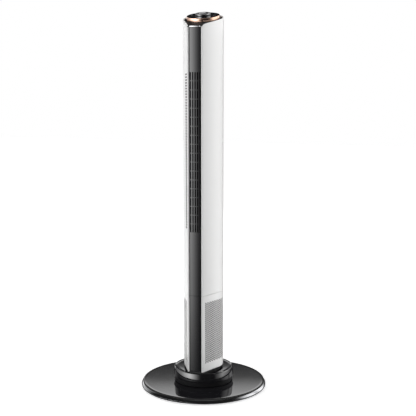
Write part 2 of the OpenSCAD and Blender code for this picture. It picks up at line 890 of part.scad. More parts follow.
module seam_bulkhead() {
    low_z = seam_z - bulkhead_h / 2;
    color(matte_black)
    difference() {
        translate([0, 0, low_z]) linear_extrude(bulkhead_h) plan(wall_t + fit, plate_front);
        for (z = [low_z - overrun, seam_z + bulkhead_floor_t / 2])
            translate([0, 0, z])
                linear_extrude(bulkhead_h / 2 - bulkhead_floor_t / 2 + overrun)
                    plan(wall_t + fit + bulkhead_t, plate_front + bulkhead_t);
        translate([0, barrel_r / 2, low_z]) cylinder(r = wire_hole_r, h = bulkhead_h);
    }
}

// Upper casing

// Right half of the upper casing, with the window for the rear grille and the ledge behind it
module upper_half() {
    low_z = seam_z + seam_gap / 2;
    window_low = grille_low_z - fit;
    window_h = grille_h + 2 * fit;
    ledge_angle = grille_half_angle + grille_edge_angle;
    sill_angle = grille_half_angle - grille_edge_angle;
    difference() {
        union() {
            translate([0, 0, low_z]) linear_extrude(casing_top_z + barrel_r - low_z) whole_wall();
            difference() {
                tube_sector(inner_r + wall_t / 2, inner_r - ledge_t, window_low - 2 * ledge_t,
                            window_h + 4 * ledge_t, 90 - ledge_angle, 90 + ledge_angle);
                tube_sector(barrel_r, inner_r - 2 * ledge_t, window_low + 2 * ledge_t,
                            window_h - 4 * ledge_t, 90 - sill_angle, 90 + sill_angle);
            }
        }
        above_top_edge();
        tube_sector(barrel_r + overrun, inner_r - fit, window_low, window_h,
                    90 - grille_half_angle, 90 + grille_half_angle);
        grille_screw_holes();
        translate([fit / 2 - 4 * barrel_r, -2 * column_front, 0])
            cube([4 * barrel_r, 4 * column_front, 2 * casing_top_z]);
    }
}

// Places copies at the four corners of the rear grille's frame, looking outward
module at_grille_corners(r) {
    for (side = [-1, 1], z = [grille_frame_h / 2, grille_h - grille_frame_h / 2])
        rotate([0, 0, 90 + side * (grille_half_angle - grille_edge_angle / 2)])
            translate([r, 0, grille_low_z + z])
                rotate([0, 90, 0]) children();
}

// Holes for the four screws of the rear grille
module grille_screw_holes() {
    at_grille_corners(inner_r - 2 * ledge_t) cylinder(r = grille_screw_r, h = 8 * wall_t, $fn = 24);
}

module right_shell() {
    color(casing_white) upper_half();
}

module left_shell() {
    inlet_count = floor(cell_pitch * slot_rows / inlet_pitch) - 1;
    inlet_low_z = outlet_low_z + inlet_pitch;
    inlet_front = column_front / cos(flank_angle) - barrel_r * tan(flank_angle) - 3 * lip_r;
    inlet_slant = 5;
    color(casing_white)
    difference() {
        mirror([1, 0, 0]) upper_half();
        for (k = [0:inlet_count - 1])
            rotate([0, 0, 180 + flank_angle])
                translate([inner_r - wall_t, inlet_front - inlet_l, inlet_low_z + k * inlet_pitch])
                    rotate([inlet_slant, 0, 0]) cube([4 * wall_t, inlet_l, inlet_h]);
    }
}

// Long slot with round ends that looks along +Y, its lower left corner at the origin
module outlet_slot() {
    rotate([90, 0, 0])
        translate([0, 0, -strip_t - flange_t - overrun])
            linear_extrude(strip_t + flange_t + 2 * overrun) {
                translate([0, slot_w / 2]) square([slot_w, slot_field_h - slot_w]);
                for (z = [slot_w / 2, slot_field_h - slot_w / 2])
                    translate([slot_w / 2, z]) circle(r = slot_w / 2, $fn = 32);
            }
}

// Section of a crossbar, which lies behind the strip's face
module crossbar_section() {
    reach = (slot_columns - 1) / 2 * slot_pitch + slot_w;
    intersection() {
        translate([0, strip_face_y + strip_bulge_r])
            circle(r = strip_bulge_r - crossbar_recess, $fn = 128);
        translate([-reach, strip_face_y - overrun]) square([2 * reach, strip_t + overrun]);
    }
}

module front_strip() {
    low_z = seam_z + seam_gap / 2;
    color(gloss_black) {
        difference() {
            translate([0, 0, low_z]) linear_extrude(strip_top_z - low_z) strip_section();
            for (column = [0:slot_columns - 1])
                translate([(column - (slot_columns - 1) / 2) * slot_pitch - slot_w / 2,
                           strip_face_y, outlet_low_z])
                    outlet_slot();
        }
        for (row = [1:slot_rows - 1])
            translate([0, 0, outlet_low_z + row * cell_pitch - crossbar_h])
                linear_extrude(crossbar_h) crossbar_section();
    }
}

module rear_grille() {
    edge_angle = grille_half_angle - grille_edge_angle;
    column_angle = (2 * edge_angle + grille_rib_angle) / grille_columns;
    color(casing_white)
    difference() {
        tube_sector(barrel_r, inner_r + fit, grille_low_z, grille_h,
                    90 - grille_half_angle + grille_gap_angle,
                   90 + grille_half_angle - grille_gap_angle);
        for (row = [0:grille_rows - 1], column = [0:grille_columns - 1])
            tube_sector(barrel_r + overrun, inner_r - overrun,
                        grille_low_z + grille_frame_h + row * grille_row_pitch
                        + (grille_row_pitch - grille_slot_h) / 2, grille_slot_h,
                        90 - edge_angle + column * column_angle,
                        90 - edge_angle + (column + 1) * column_angle - grille_rib_angle);
        grille_screw_holes();
    }
}

module grille_screws() {
    color(steel)
    at_grille_corners(barrel_r) {
        cylinder(r1 = screw_head_r - overrun, r2 = screw_r, h = screw_head_h / 2, $fn = 24);
        translate([0, 0, -wall_t - ledge_t])
            cylinder(r = grille_screw_r - screw_fit, h = wall_t + ledge_t, $fn = 24);
    }
}

// Air duct inside the upper casing

module duct_floor() {
    color(matte_black)
    difference() {
        translate([0, 0, duct_floor_z]) linear_extrude(plate_t) plan(wall_t + fit, plate_front);
        translate([0, 0, duct_floor_z - overrun]) cylinder(r = hub_cone_r, h = plate_t + 2 * overrun);
        around(3, motor_lug_circle_r, 30)
            translate([0, 0, duct_floor_z - overrun]) cylinder(r = screw_r, h = plate_t, $fn = 24);
    }
}

module duct_ceiling() {
    color(matte_black)
    difference() {
        translate([0, 0, duct_ceiling_z]) linear_extrude(plate_t) plan(wall_t + fit, plate_front);
        translate([0, 0, duct_ceiling_z - overrun]) cylinder(r = bearing_r, h = plate_t + 2 * overrun);
    }
}

// A thin wall along a list of points, thickened toward the inside of the duct
module ribbon(points, t) {
    n = len(points);
    function normal(k) = let (
        a = points[max(0, k - 1)], b = points[min(n - 1, k + 1)], d = b - a
    ) [-d[1], d[0]] / norm(d);
    polygon(concat(points, [for (k = [n - 1:-1:0]) points[k] + t * normal(k)]));
}

module scroll_wall() {
    r0 = impeller_r + scroll_start_gap;
    r1 = impeller_r + scroll_end_gap;
    curve = [for (k = [0:scroll_points]) let (s = k / scroll_points)
        polar([0, 0], r0 + (r1 - r0) * s, scroll_start_angle + (scroll_end_angle - scroll_start_angle) * s)];
    outlet = [[-duct_half, flange_y + fit + scroll_t]];
    z0 = duct_floor_z + plate_t;
    color(matte_black)
    translate([0, 0, z0]) linear_extrude(duct_ceiling_z - z0) ribbon(concat(curve, outlet), -scroll_t);
}

module tongue_wall() {
    tip_r = impeller_r + tongue_gap;
    z0 = duct_floor_z + plate_t;
    tip = polar([0, 0], tip_r, -32);
    back = polar([0, 0], tip_r + scroll_t, -20);
    color(matte_black)
    translate([0, 0, z0])
        linear_extrude(duct_ceiling_z - z0)
            polygon([
                [duct_half, flange_y + fit], [duct_half + scroll_t, flange_y + fit],
                [tip[0] + 2 * scroll_t, tip[1] - scroll_t], back, polar([0, 0], tip_r, -20),
                polar([0, 0], tip_r, -26), tip
            ]);
}

// Fan motor and impeller

module fan_motor() {
    color(motor_grey)
    difference() {
        union() {
            translate([0, 0, motor_top_z - motor_h]) cylinder(r = motor_r, h = motor_h);
            translate([0, 0, motor_top_z - motor_h / 2]) cylinder(r = motor_r + motor_band_t, h = motor_h / 6);
            around(3, motor_lug_circle_r, 30)
                translate([0, 0, motor_top_z - motor_lug_t])
                    cylinder(r = motor_lug_r, h = motor_lug_t, $fn = 32);
            for (k = [0:2])
                rotate([0, 0, 30 + 120 * k])
                    translate([0, -motor_lug_r, motor_top_z - motor_lug_t])
                        cube([motor_lug_circle_r, 2 * motor_lug_r, motor_lug_t]);
        }
        translate([0, 0, motor_top_z - motor_h - overrun])
            cylinder(r = shaft_r + running_fit, h = motor_h + 2 * overrun);
        around(3, motor_lug_circle_r, 30)
            translate([0, 0, motor_top_z - motor_lug_t - overrun])
                cylinder(r = screw_r, h = motor_lug_t + 2 * overrun, $fn = 24);
    }
}

module motor_mounts() {
    color(rubber_black)
    around(3, motor_lug_circle_r, 30)
        tube(mount_r, screw_r, motor_top_z, mount_h);
}

module motor_screws() {
    color(steel)
    around(3, motor_lug_circle_r, 30)
        translate([0, 0, motor_top_z - motor_lug_t])
            mirror([0, 0, 1]) pan_screw(motor_lug_t + mount_h + plate_t / 2);
}

module motor_shaft() {
    low_z = motor_top_z - motor_h - overrun;
    color(steel)
    translate([0, 0, low_z]) cylinder(r = shaft_r, h = impeller_low_z + hub_cone_h / 2 - low_z);
}

// One curved blade's outline from the inner to the outer radius
module blade() {
    r_in = impeller_r * blade_inner_share;
    r_out = impeller_r;
    camber = [for (k = [0:blade_points]) let (s = k / blade_points)
        polar([0, 0], r_in + (r_out - r_in) * s, blade_sweep * (1 - (1 - s) * (1 - s)))];
    ribbon(camber, blade_t);
}

module impeller() {
    section_h = (impeller_h - impeller_disc_t) / section_count;
    color(matte_black)
    difference() {
        union() {
            translate([0, 0, impeller_low_z])
                linear_extrude(impeller_h)
                    for (k = [0:blade_count - 1]) rotate(360 * k / blade_count) blade();
            for (k = [1:section_count - 1])
                tube(impeller_r + blade_t, impeller_r * blade_inner_share - 2 * blade_t,
                     impeller_low_z + k * section_h, impeller_disc_t);
            for (z = [impeller_low_z, impeller_top_z - impeller_disc_t])
                translate([0, 0, z]) cylinder(r = impeller_r + blade_t, h = impeller_disc_t);
            translate([0, 0, impeller_low_z])
                cylinder(r1 = hub_cone_r, r2 = hub_cone_r - impeller_disc_t, h = hub_cone_h);
            translate([0, 0, impeller_top_z - hub_cone_h])
                cylinder(r1 = hub_cone_r - impeller_disc_t, r2 = hub_cone_r, h = hub_cone_h);
        }
        translate([0, 0, impeller_low_z - overrun]) cylinder(r = shaft_r, h = overrun + hub_cone_h / 2);
        translate([0, 0, impeller_top_z - hub_cone_h / 2]) cylinder(r = shaft_r, h = overrun + hub_cone_h / 2);
    }
}

module top_pivot() {
    low_z = impeller_top_z - hub_cone_h / 2;
    color(steel)
    translate([0, 0, low_z]) cylinder(r = shaft_r, h = duct_ceiling_z + bearing_h - bearing_flange_t - low_z);
}

module upper_bearing() {
    color(rubber_black)
    rotate_extrude()
        polygon([
            [shaft_r + running_fit, duct_ceiling_z], [bearing_r, duct_ceiling_z],
            [bearing_r, duct_ceiling_z + plate_t],
            [bearing_r + bearing_flange_t, duct_ceiling_z + plate_t],
            [bearing_r, duct_ceiling_z + bearing_h], [shaft_r + running_fit, duct_ceiling_z + bearing_h]
        ]);
}

// Control top

// Section of the deck, whose nose passes between the front lips
module deck_section() {
    taper_y = lip_y + lip_depth + lip_taper + fit;
    plan(wall_t + fit, taper_y);
    translate([-strip_half, deck_front_y]) square([2 * strip_half, taper_y - deck_front_y]);
}

module top_deck() {
    color(matte_black)
    difference() {
        translate([0, 0, deck_z - barrel_r]) linear_extrude(2 * barrel_r) deck_section();
        on_top() {
            translate([-2 * barrel_r, -2 * column_front, 0])
                cube([4 * barrel_r, 4 * column_front, 2 * barrel_r]);
            translate([-2 * barrel_r, -2 * column_front, -deck_t - 2 * barrel_r])
                cube([4 * barrel_r, 4 * column_front, 2 * barrel_r]);
            translate([0, 0, -deck_t - overrun]) cylinder(r = wire_hole_r, h = deck_t + 2 * overrun);
            around(deck_screw_count, ring_r - ring_ledge_w / 2 - ring_t / 2, 30)
                translate([0, 0, -deck_t - overrun])
                    cylinder(r = screw_r, h = deck_t + 2 * overrun, $fn = 24);
        }
    }
}

module deck_screws() {
    color(steel)
    on_top() around(deck_screw_count, ring_r - ring_ledge_w / 2 - ring_t / 2, 30)
        translate([0, 0, -deck_t]) mirror([0, 0, 1]) pan_screw(deck_t + panel_low / 2);
}

module panel_ring() {
    color(copper)
    on_top()
        difference() {
            rotate_extrude($fn = 128)
                polygon([
                    [ring_r - ring_t - ring_ledge_w, 0], [ring_r + ring_flare, 0],
                    [ring_r + ring_flare, ring_flare], [ring_r, ring_h - ring_flare / 2],
                    [ring_r - ring_flare / 2, ring_h], [ring_r - ring_t, ring_h],
                    [ring_r - ring_t, panel_low], [ring_r - ring_t - ring_ledge_w, panel_low]
                ]);
            around(deck_screw_count, ring_r - ring_ledge_w / 2 - ring_t / 2, 30)
                translate([0, 0, -overrun]) cylinder(r = screw_r, h = panel_low / 2 + 2 * overrun, $fn = 24);
        }
}

module control_panel() {
    color(gloss_black)
    on_top()
        difference() {
            translate([0, 0, panel_low]) cylinder(r = panel_r, h = panel_t, $fn = 128);
            translate([0, 0, panel_low - overrun])
                cylinder(r = encoder_shaft_r + turning_gap, h = panel_t + 2 * overrun);
            for (side = [-1, 1])
                translate([side * lens_circle_r, 0, panel_top - lens_t])
                    cylinder(r = lens_r, h = lens_t + overrun, $fn = 32);
        }
}

module indicator_lenses() {
    color(lens_grey)
    on_top()
        for (side = [-1, 1])
            translate([side * lens_circle_r, 0, panel_top - lens_t])
                cylinder(r = lens_r - screw_fit, h = lens_t, $fn = 32);
}

module control_board() {
    board_r = ring_r - ring_t - ring_ledge_w - fit;
    color(board_green)
    on_top() translate([0, 0, board_gap]) cylinder(r = board_r, h = board_t);
    color(steel)
    on_top()
        for (a = [60:120:300])
            rotate([0, 0, a]) translate([board_r - 2 * board_gap, 0, 0])
                cylinder(r = board_gap, h = board_gap, $fn = 24);
}

module encoder_body() {
    z0 = board_gap + board_t;
    h = panel_low - z0 - fit;
    color(motor_grey)
    on_top()
        difference() {
            translate([-encoder_w / 2, -encoder_w / 2, z0]) cube([encoder_w, encoder_w, h]);
            translate([0, 0, z0 + encoder_lift])
                cylinder(r = encoder_shaft_r + running_fit, h = h, $fn = 48);
        }
}

module knob_shaft() {
    z0 = board_gap + board_t + encoder_lift + turning_gap;
    color(steel)
    on_top() translate([0, 0, z0])
        cylinder(r = encoder_shaft_r, h = knob_low + knob_h - knob_dish_depth - overrun - z0, $fn = 48);
}

module knob() {
    color(gloss_black)
    on_top()
        rotate_extrude($fn = 96)
            polygon(concat(
                [[encoder_shaft_r, knob_low], [knob_r - knob_edge_round, knob_low],
                 [knob_r, knob_low + knob_edge_round]],
                [for (a = [0:30:90])
                    polar([knob_r - knob_edge_round, knob_low + knob_h - knob_edge_round],
                          knob_edge_round, a)],
                [[knob_dish_r + trim_w, knob_low + knob_h],
                 [knob_dish_r + trim_w, knob_low + knob_h - knob_edge_round],
                 [knob_dish_r, knob_low + knob_h - knob_dish_depth],
                 [0, knob_low + knob_h - knob_dish_depth],
                 [0, knob_low + knob_h - knob_dish_depth - overrun],
                 [encoder_shaft_r, knob_low + knob_h - knob_dish_depth - overrun]]
            ));
}

module knob_trim() {
    color(steel)
    on_top()
        rotate_extrude($fn = 96)
            polygon([
                [knob_dish_r, knob_low + knob_h - knob_dish_depth],
                [knob_dish_r + trim_w, knob_low + knob_h - knob_edge_round],
                [knob_dish_r + trim_w, knob_low + knob_h],
                [knob_dish_r + trim_w - knob_edge_round / 2, knob_low + knob_h],
                [knob_dish_r, knob_low + knob_h - knob_dish_depth + knob_edge_round / 2]
            ]);
}

base_disc();
base_rim();
base_tray();
base_weight();
rubber_feet();
tray_screws();
boss_body();
boss_screws();
pivot_bush();
glide_ring();
ring_gear();
gear_screws();
cord_grommet();
turntable_collar();
pivot_spindle();
spindle_nut();
column_foot();
foot_screws();
swing_motor();
swing_pinion();
lower_shell();
lower_strip();
power_board();
seam_bulkhead();
left_shell();
right_shell();
front_strip();
rear_grille();
grille_screws();
duct_floor();
duct_ceiling();
scroll_wall();
tongue_wall();
fan_motor();
motor_mounts();
motor_screws();
motor_shaft();
impeller();
top_pivot();
upper_bearing();
top_deck();
deck_screws();
panel_ring();
control_panel();
indicator_lenses();
control_board();
encoder_body();
knob_shaft();
knob();
knob_trim();
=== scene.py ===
"""A white bladeless tower fan on a black turntable: its finishes and finer shapes."""
import math

import bmesh
import bpy
import numpy as np
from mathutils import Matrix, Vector


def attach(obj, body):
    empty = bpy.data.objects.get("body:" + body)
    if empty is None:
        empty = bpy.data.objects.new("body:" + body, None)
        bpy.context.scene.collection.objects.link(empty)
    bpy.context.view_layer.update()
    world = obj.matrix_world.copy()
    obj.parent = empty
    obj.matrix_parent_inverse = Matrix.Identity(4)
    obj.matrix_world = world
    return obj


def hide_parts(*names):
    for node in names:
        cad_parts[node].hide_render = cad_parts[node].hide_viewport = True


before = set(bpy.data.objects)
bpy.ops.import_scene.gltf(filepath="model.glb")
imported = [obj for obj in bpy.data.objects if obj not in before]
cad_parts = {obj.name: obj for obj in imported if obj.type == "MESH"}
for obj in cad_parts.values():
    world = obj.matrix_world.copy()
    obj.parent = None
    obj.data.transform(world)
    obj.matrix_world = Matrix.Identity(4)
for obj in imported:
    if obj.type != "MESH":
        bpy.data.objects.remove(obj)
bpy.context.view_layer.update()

# The camera stands 2.46 m from the swing axis at chest height, 15.5 degrees to the right as one
# faces the fan, and looks slightly down. It carries a moderate telephoto lens.
CAMERA_PLACE = (0.6585, -2.3744, 0.8606)
CAMERA_DIP, CAMERA_TURN = 8.99, 15.23
photo_lens = bpy.data.cameras.new("photo_camera")
photo_lens.lens = 84.0
photo_lens.sensor_width = 36.0
photo_camera = bpy.data.objects.new("photo_camera", photo_lens)
photo_camera.location = CAMERA_PLACE
photo_camera.rotation_euler = (math.radians(90 - CAMERA_DIP), 0, math.radians(CAMERA_TURN))
bpy.context.scene.collection.objects.link(photo_camera)
bpy.context.scene.camera = photo_camera
bpy.context.scene.view_settings.view_transform = "Standard"


# The studio is a white floor in a white room, and the floor glows a little toward the camera, so
# that it meets the room without an edge. Finishes and repeated shapes are both node trees, so the
# small classes that write them start here.
class Amount:
    """A number or a place that varies over a surface. Sums on it add Math nodes."""

    def __init__(self, bench, socket):
        self.bench, self.socket = bench, socket

    def sum(self, operation, *values):
        return self.bench.amount(
            "ShaderNodeMath", {"operation": operation}, dict(enumerate(values)))

    def __add__(self, other):
        return self.sum("ADD", self, other)

    def __radd__(self, other):
        return self.sum("ADD", other, self)

    def __sub__(self, other):
        return self.sum("SUBTRACT", self, other)

    def __rsub__(self, other):
        return self.sum("SUBTRACT", other, self)

    def __mul__(self, other):
        return self.sum("MULTIPLY", self, other)

    def __rmul__(self, other):
        return self.sum("MULTIPLY", other, self)

    def __truediv__(self, other):
        return self.sum("DIVIDE", self, other)

    def __rtruediv__(self, other):
        return self.sum("DIVIDE", other, self)

    def __pow__(self, other):
        return self.sum("POWER", self, other)

    def __mod__(self, other):
        return self.sum("FLOORED_MODULO", self, other)

    def __gt__(self, other):
        return self.sum("GREATER_THAN", self, other)

    def __lt__(self, other):
        return self.sum("LESS_THAN", self, other)

    def __abs__(self):
        return self.sum("ABSOLUTE", self)


class Bench:
    """One node tree, either of a finish or of a shape that repeats."""

    def __init__(self, tree):
        self.tree = tree

    def node(self, kind, settings=None, sockets=None):
        made = self.tree.nodes.new(kind)
        for name, value in (settings or {}).items():
            if name == "stops":
                ramp = made.color_ramp.elements
                while len(ramp) < len(value):
                    ramp.new(0.5)
                for stop, (place, shade) in zip(ramp, value):
                    stop.position, stop.color = place, (shade, shade, shade, 1)
            else:
                setattr(made, name, value)
        for name, value in (sockets or {}).items():
            if isinstance(value, Amount):
                self.tree.links.new(value.socket, made.inputs[name])
            else:
                made.inputs[name].default_value = value
        return made

    def amount(self, kind, settings=None, sockets=None, output=0):
        return Amount(self, self.node(kind, settings, sockets).outputs[output])

    def ramp(self, value, stops):
        """A curve through pairs of a rising input and an output, both of any size."""
        first, last = stops[0][0], stops[-1][0]
        most = max(shade for _, shade in stops) or 1
        share = (value - first) / (last - first)
        return self.amount("ShaderNodeValToRGB", {"stops": [
            ((place - first) / (last - first), shade / most) for place, shade in stops]},
            {"Fac": share}) * most

    def fade(self, value, low, high):
        """0 up to low, 1 from high on, and smooth between them."""
        return self.amount("ShaderNodeMapRange", {"interpolation_type": "SMOOTHSTEP"}, {
            "Value": value, "From Min": low, "From Max": high})


def new_finish(name, **constants):
    """A material, its bench, its shader and the place on the piece, in metres."""
    material = bpy.data.materials.new(name)
    material.use_nodes = True
    bench = Bench(material.node_tree)
    shader = material.node_tree.nodes["Principled BSDF"]
    for socket, value in constants.items():
        shader.inputs[socket.replace("_", " ")].default_value = value
    place = bench.amount("ShaderNodeTexCoord", output="Object")
    return material, bench, shader, place


def grain(bench, place, size, detail=2.0):
    """Noise from 0 to 1 whose lumps measure about size, in metres."""
    scaled = bench.amount("ShaderNodeMapping", sockets={
        "Vector": place, "Scale": (1 / size, 1 / size, 1 / size)})
    return bench.amount("ShaderNodeTexNoise", sockets={
        "Vector": scaled, "Scale": 1.0, "Detail": detail})


def feed(bench, shader, socket, value):
    bench.tree.links.new(value.socket, shader.inputs[socket])


def relief(bench, shader, height, depth):
    """Lets a height from 0 to 1 stand out by depth, in metres."""
    feed(bench, shader, "Normal", bench.amount("ShaderNodeBump", sockets={
        "Height": height, "Distance": depth, "Strength": 1.0}))


def blend_of(bench, share, first, second):
    """A colour between two colours."""
    return bench.amount("ShaderNodeMix", {"data_type": "RGBA"}, {
        0: share, 6: (*first, 1), 7: (*second, 1)}, output=2)


def flat_sheet(name, corners, finish):
    """A stage sheet through corners in metres."""
    mesh = bpy.data.meshes.new(name)
    mesh.from_pydata(corners, [], [tuple(range(len(corners)))])
    mesh.materials.append(finish)
    sheet = bpy.data.objects.new(name, mesh)
    bpy.context.scene.collection.objects.link(sheet)
    return sheet


FLOOR_HALF = 7.0
NEAR_GLOW, FAR_GLOW = 0.5, 0.64
GLOW_RISE = (0.3, 1.5)
floor_finish, bench, shader, place = new_finish("studio_floor", Roughness=0.75)
speck = grain(bench, place, 0.4)
feed(bench, shader, "Base Color", blend_of(bench, speck, (0.86, 0.86, 0.86), (0.88, 0.88, 0.88)))
paths = bench.node("ShaderNodeLightPath")
seen = Amount(bench, paths.outputs["Is Camera Ray"])
shader.inputs["Emission Strength"].default_value = 1.0
away = bench.amount("ShaderNodeVectorMath", {"operation": "LENGTH"}, {0: place}, output="Value")
floor_glow = NEAR_GLOW + (FAR_GLOW - NEAR_GLOW) * bench.fade(away, *GLOW_RISE)
feed(bench, shader, "Emission Color", blend_of(bench, seen * floor_glow, (0, 0, 0), (1, 1, 1)))
studio_floor = flat_sheet("studio_floor", [
    (-FLOOR_HALF, -FLOOR_HALF, 0), (FLOOR_HALF, -FLOOR_HALF, 0),
    (FLOOR_HALF, FLOOR_HALF, 0), (-FLOOR_HALF, FLOOR_HALF, 0)], floor_finish)
studio_floor.visible_glossy = False

# The room is white to the camera and even on dull surfaces. Gloss mirrors a dark surround with
# soft light panels instead. Each panel is a curve of strength over the bearing in degrees, where
# 0 is in front of the fan and 90 to its right as one faces it, within a band of heights.
ROOM_LEVEL, DARK_LEVEL = 0.42, 0.02
UNDER_FLOOR = (-0.37, -0.355)
OVERHEAD_INNER, OVERHEAD_OUTER, OVERHEAD_LEVEL = 16, 30, 1.1
room = bpy.data.worlds.new("studio_room")
room.use_nodes = True
bpy.context.scene.world = room
bench = Bench(room.node_tree)
heading = bench.amount("ShaderNodeTexCoord", output="Generated")
axes = bench.node("ShaderNodeSeparateXYZ", sockets={"Vector": heading})
east, north, up = (Amount(bench, socket) for socket in axes.outputs)
bearing = east.sum("ARCTAN2", east, 0 - north) * (180 / math.pi)
broad_panels = bench.ramp(bearing, [
    (-130, 0.0), (-105, 0.7), (-78, 1.8), (-57, 4.0), (-39, 5.6), (-28, 4.0), (-20, 2.6),
    (-13, 1.45), (-6, 0.6), (0, 0.15), (6, 0.0), (57, 0.0), (74, 0.7), (93, 2.2), (114, 1.3),
    (142, 0.1), (180, 0.0)])
low_gap = bench.fade(up, -0.38, -0.13) + 1 - bench.fade(up, *UNDER_FLOOR)
flank_panel = bench.ramp(bearing, [
    (-180, 0.0), (-158, 0.3), (-147, 1.6), (-138, 1.4), (-124, 0.0)])
flank_panel = flank_panel * (1 + 0.6 * (1 - bench.fade(up, -0.30, -0.16)))
low_panel = bench.ramp(bearing, [
    (-30, 0.0), (-18, 0.7), (-8, 1.2), (2, 0.7), (14, 0.22), (42, 0.22), (60, 0.5), (74, 0.8),
    (93, 0.0)]) * (1 - bench.fade(up, *UNDER_FLOOR))
panels = (broad_panels * low_gap + flank_panel + low_panel) * (1 - bench.fade(up, 0.06, 0.30))
side_lights = bench.ramp(bearing, [
    (-150, 0.0), (-134, 0.9), (-114, 0.6), (-96, 0.0), (88, 0.0), (104, 1.6), (122, 2.4),
    (130, 0.8), (140, 2.4), (152, 2.0), (166, 0.2), (180, 0.0)])
side_lights = side_lights * bench.fade(up, 0.0, 0.08) * (1 - bench.fade(up, 0.55, 0.75))
nearly_up = tuple(Vector((0, 0.2, 1)).normalized())
toward = bench.amount("ShaderNodeVectorMath", {"operation": "DOT_PRODUCT"}, {
    0: heading, 1: nearly_up}, output="Value")
overhead = OVERHEAD_LEVEL * bench.fade(
    toward, math.cos(math.radians(OVERHEAD_OUTER)), math.cos(math.radians(OVERHEAD_INNER)))
mirrored_light = panels + side_lights + overhead + DARK_LEVEL
paths = bench.node("ShaderNodeLightPath")
seen = Amount(bench, paths.outputs["Is Camera Ray"])
mirrored = Amount(bench, paths.outputs["Is Glossy Ray"])
glow = seen + (1 - seen) * (mirrored * mirrored_light + (1 - mirrored) * ROOM_LEVEL)
room.node_tree.links.new(glow.socket, room.node_tree.nodes["Background"].inputs["Strength"])
room.node_tree.nodes["Background"].inputs["Color"].default_value = (1, 1, 1, 1)

# A white screen stands far behind, brighter toward its top. Only polished surfaces show it: it
# is what the disc mirrors behind the column.
SCREEN_TURN, SCREEN_AWAY, SCREEN_HALF = 15.5, 5.0, 3.0
SCREEN_LOW, SCREEN_HIGH, SCREEN_POWER = 1.4, 2.5, 2.0
screen_finish, bench, shader, place = new_finish("back_screen", Roughness=1.0)
shader.inputs["Base Color"].default_value = (0, 0, 0, 1)
axes = bench.node("ShaderNodeSeparateXYZ", sockets={"Vector": place})
screen_share = bench.ramp(Amount(bench, axes.outputs["Z"]), [
    (SCREEN_LOW, 0.0), (1.576, 0.04), (1.728, 0.25), (1.812, 1.1), (1.862, 1.4), (1.896, 1.8),
    (2.35, 1.8), (SCREEN_HIGH, 0.0)]) / SCREEN_POWER
shader.inputs["Emission Strength"].default_value = SCREEN_POWER
feed(bench, shader, "Emission Color", bench.amount("ShaderNodeCombineXYZ", sockets={
    "X": screen_share, "Y": screen_share, "Z": screen_share}))
turn = math.radians(SCREEN_TURN)
back = Vector((-math.sin(turn), math.cos(turn), 0)) * SCREEN_AWAY
side = Vector((math.cos(turn), math.sin(turn), 0)) * SCREEN_HALF
low, high = Vector((0, 0, SCREEN_LOW)), Vector((0, 0, SCREEN_HIGH))
back_screen = flat_sheet("back_screen", [
    back - side + low, back + side + low, back + side + high, back - side + high], screen_finish)
back_screen.visible_camera = back_screen.visible_diffuse = back_screen.visible_shadow = False

# A flat dark mat lies on the floor round the base. Only polished surfaces show it, and it keeps
# the light panels out of the rim's lower half.
MAT_IN, MAT_OUT, MAT_Z = 0.165, 0.25, 0.0006
mat_finish, bench, shader, place = new_finish("dark_mat", Roughness=1.0)
feed(bench, shader, "Base Color", blend_of(
    bench, grain(bench, place, 0.01), (0.010, 0.010, 0.010), (0.014, 0.014, 0.014)))
circle = [(math.sin(math.radians(a)), math.cos(math.radians(a))) for a in range(0, 361, 6)]
dark_mat = flat_sheet("dark_mat", [(x * MAT_OUT, y * MAT_OUT, MAT_Z) for x, y in circle]
                      + [(x * MAT_IN, y * MAT_IN, MAT_Z) for x, y in reversed(circle)], mat_finish)
dark_mat.visible_camera = dark_mat.visible_diffuse = dark_mat.visible_shadow = False


# Four soft lamps light the dull surfaces: from the left, close along the right flank, from above
# and from behind. The camera and the polished surfaces don't see them.
def soft_lamp(name, place, target, width, height, power, spread=180):
    """A lamp with a wide face, aimed at a point."""
    lamp = bpy.data.lights.new(name, "AREA")
    lamp.shape, lamp.size, lamp.size_y, lamp.energy = "RECTANGLE", width, height, power
    lamp.spread = math.radians(spread)
    stand = bpy.data.objects.new(name, lamp)
    stand.location = place
    stand.rotation_euler = (Vector(target) - Vector(place)).to_track_quat("-Z", "Y").to_euler()
    stand.visible_glossy = stand.visible_camera = False
    bpy.context.scene.collection.objects.link(stand)


soft_lamp("left_lamp", (-1.75, -2.1, 1.1), (0, 0, 0.5), width=1.3, height=2.0, power=22)
soft_lamp("flank_lamp", (0.143, -0.0015, 0.60), (0.046, -0.0275, 0.60), width=0.04, height=1.60,
          power=0.28, spread=90)
soft_lamp("top_lamp", (0.0, -0.3, 2.6), (0, 0, 0.4), width=1.8, height=1.8, power=14)
soft_lamp("rear_lamp", (-1.2, 2.2, 1.2), (0, 0, 0.5), width=1.3, height=1.6, power=12)


# The base is a round gloss black moulding over a heavy plate, with a dark polished metal rim
# pushed over its edge. A thin matte black ring between the two stands in for the shaded gap there:
# a painted shadow line. Six screws hold its bottom plate, and six rubber feet stand under it.
WELD, SHARP_OVER, BEVEL_OVER, BEVEL_STEPS = 0.00002, 32, 40, 3


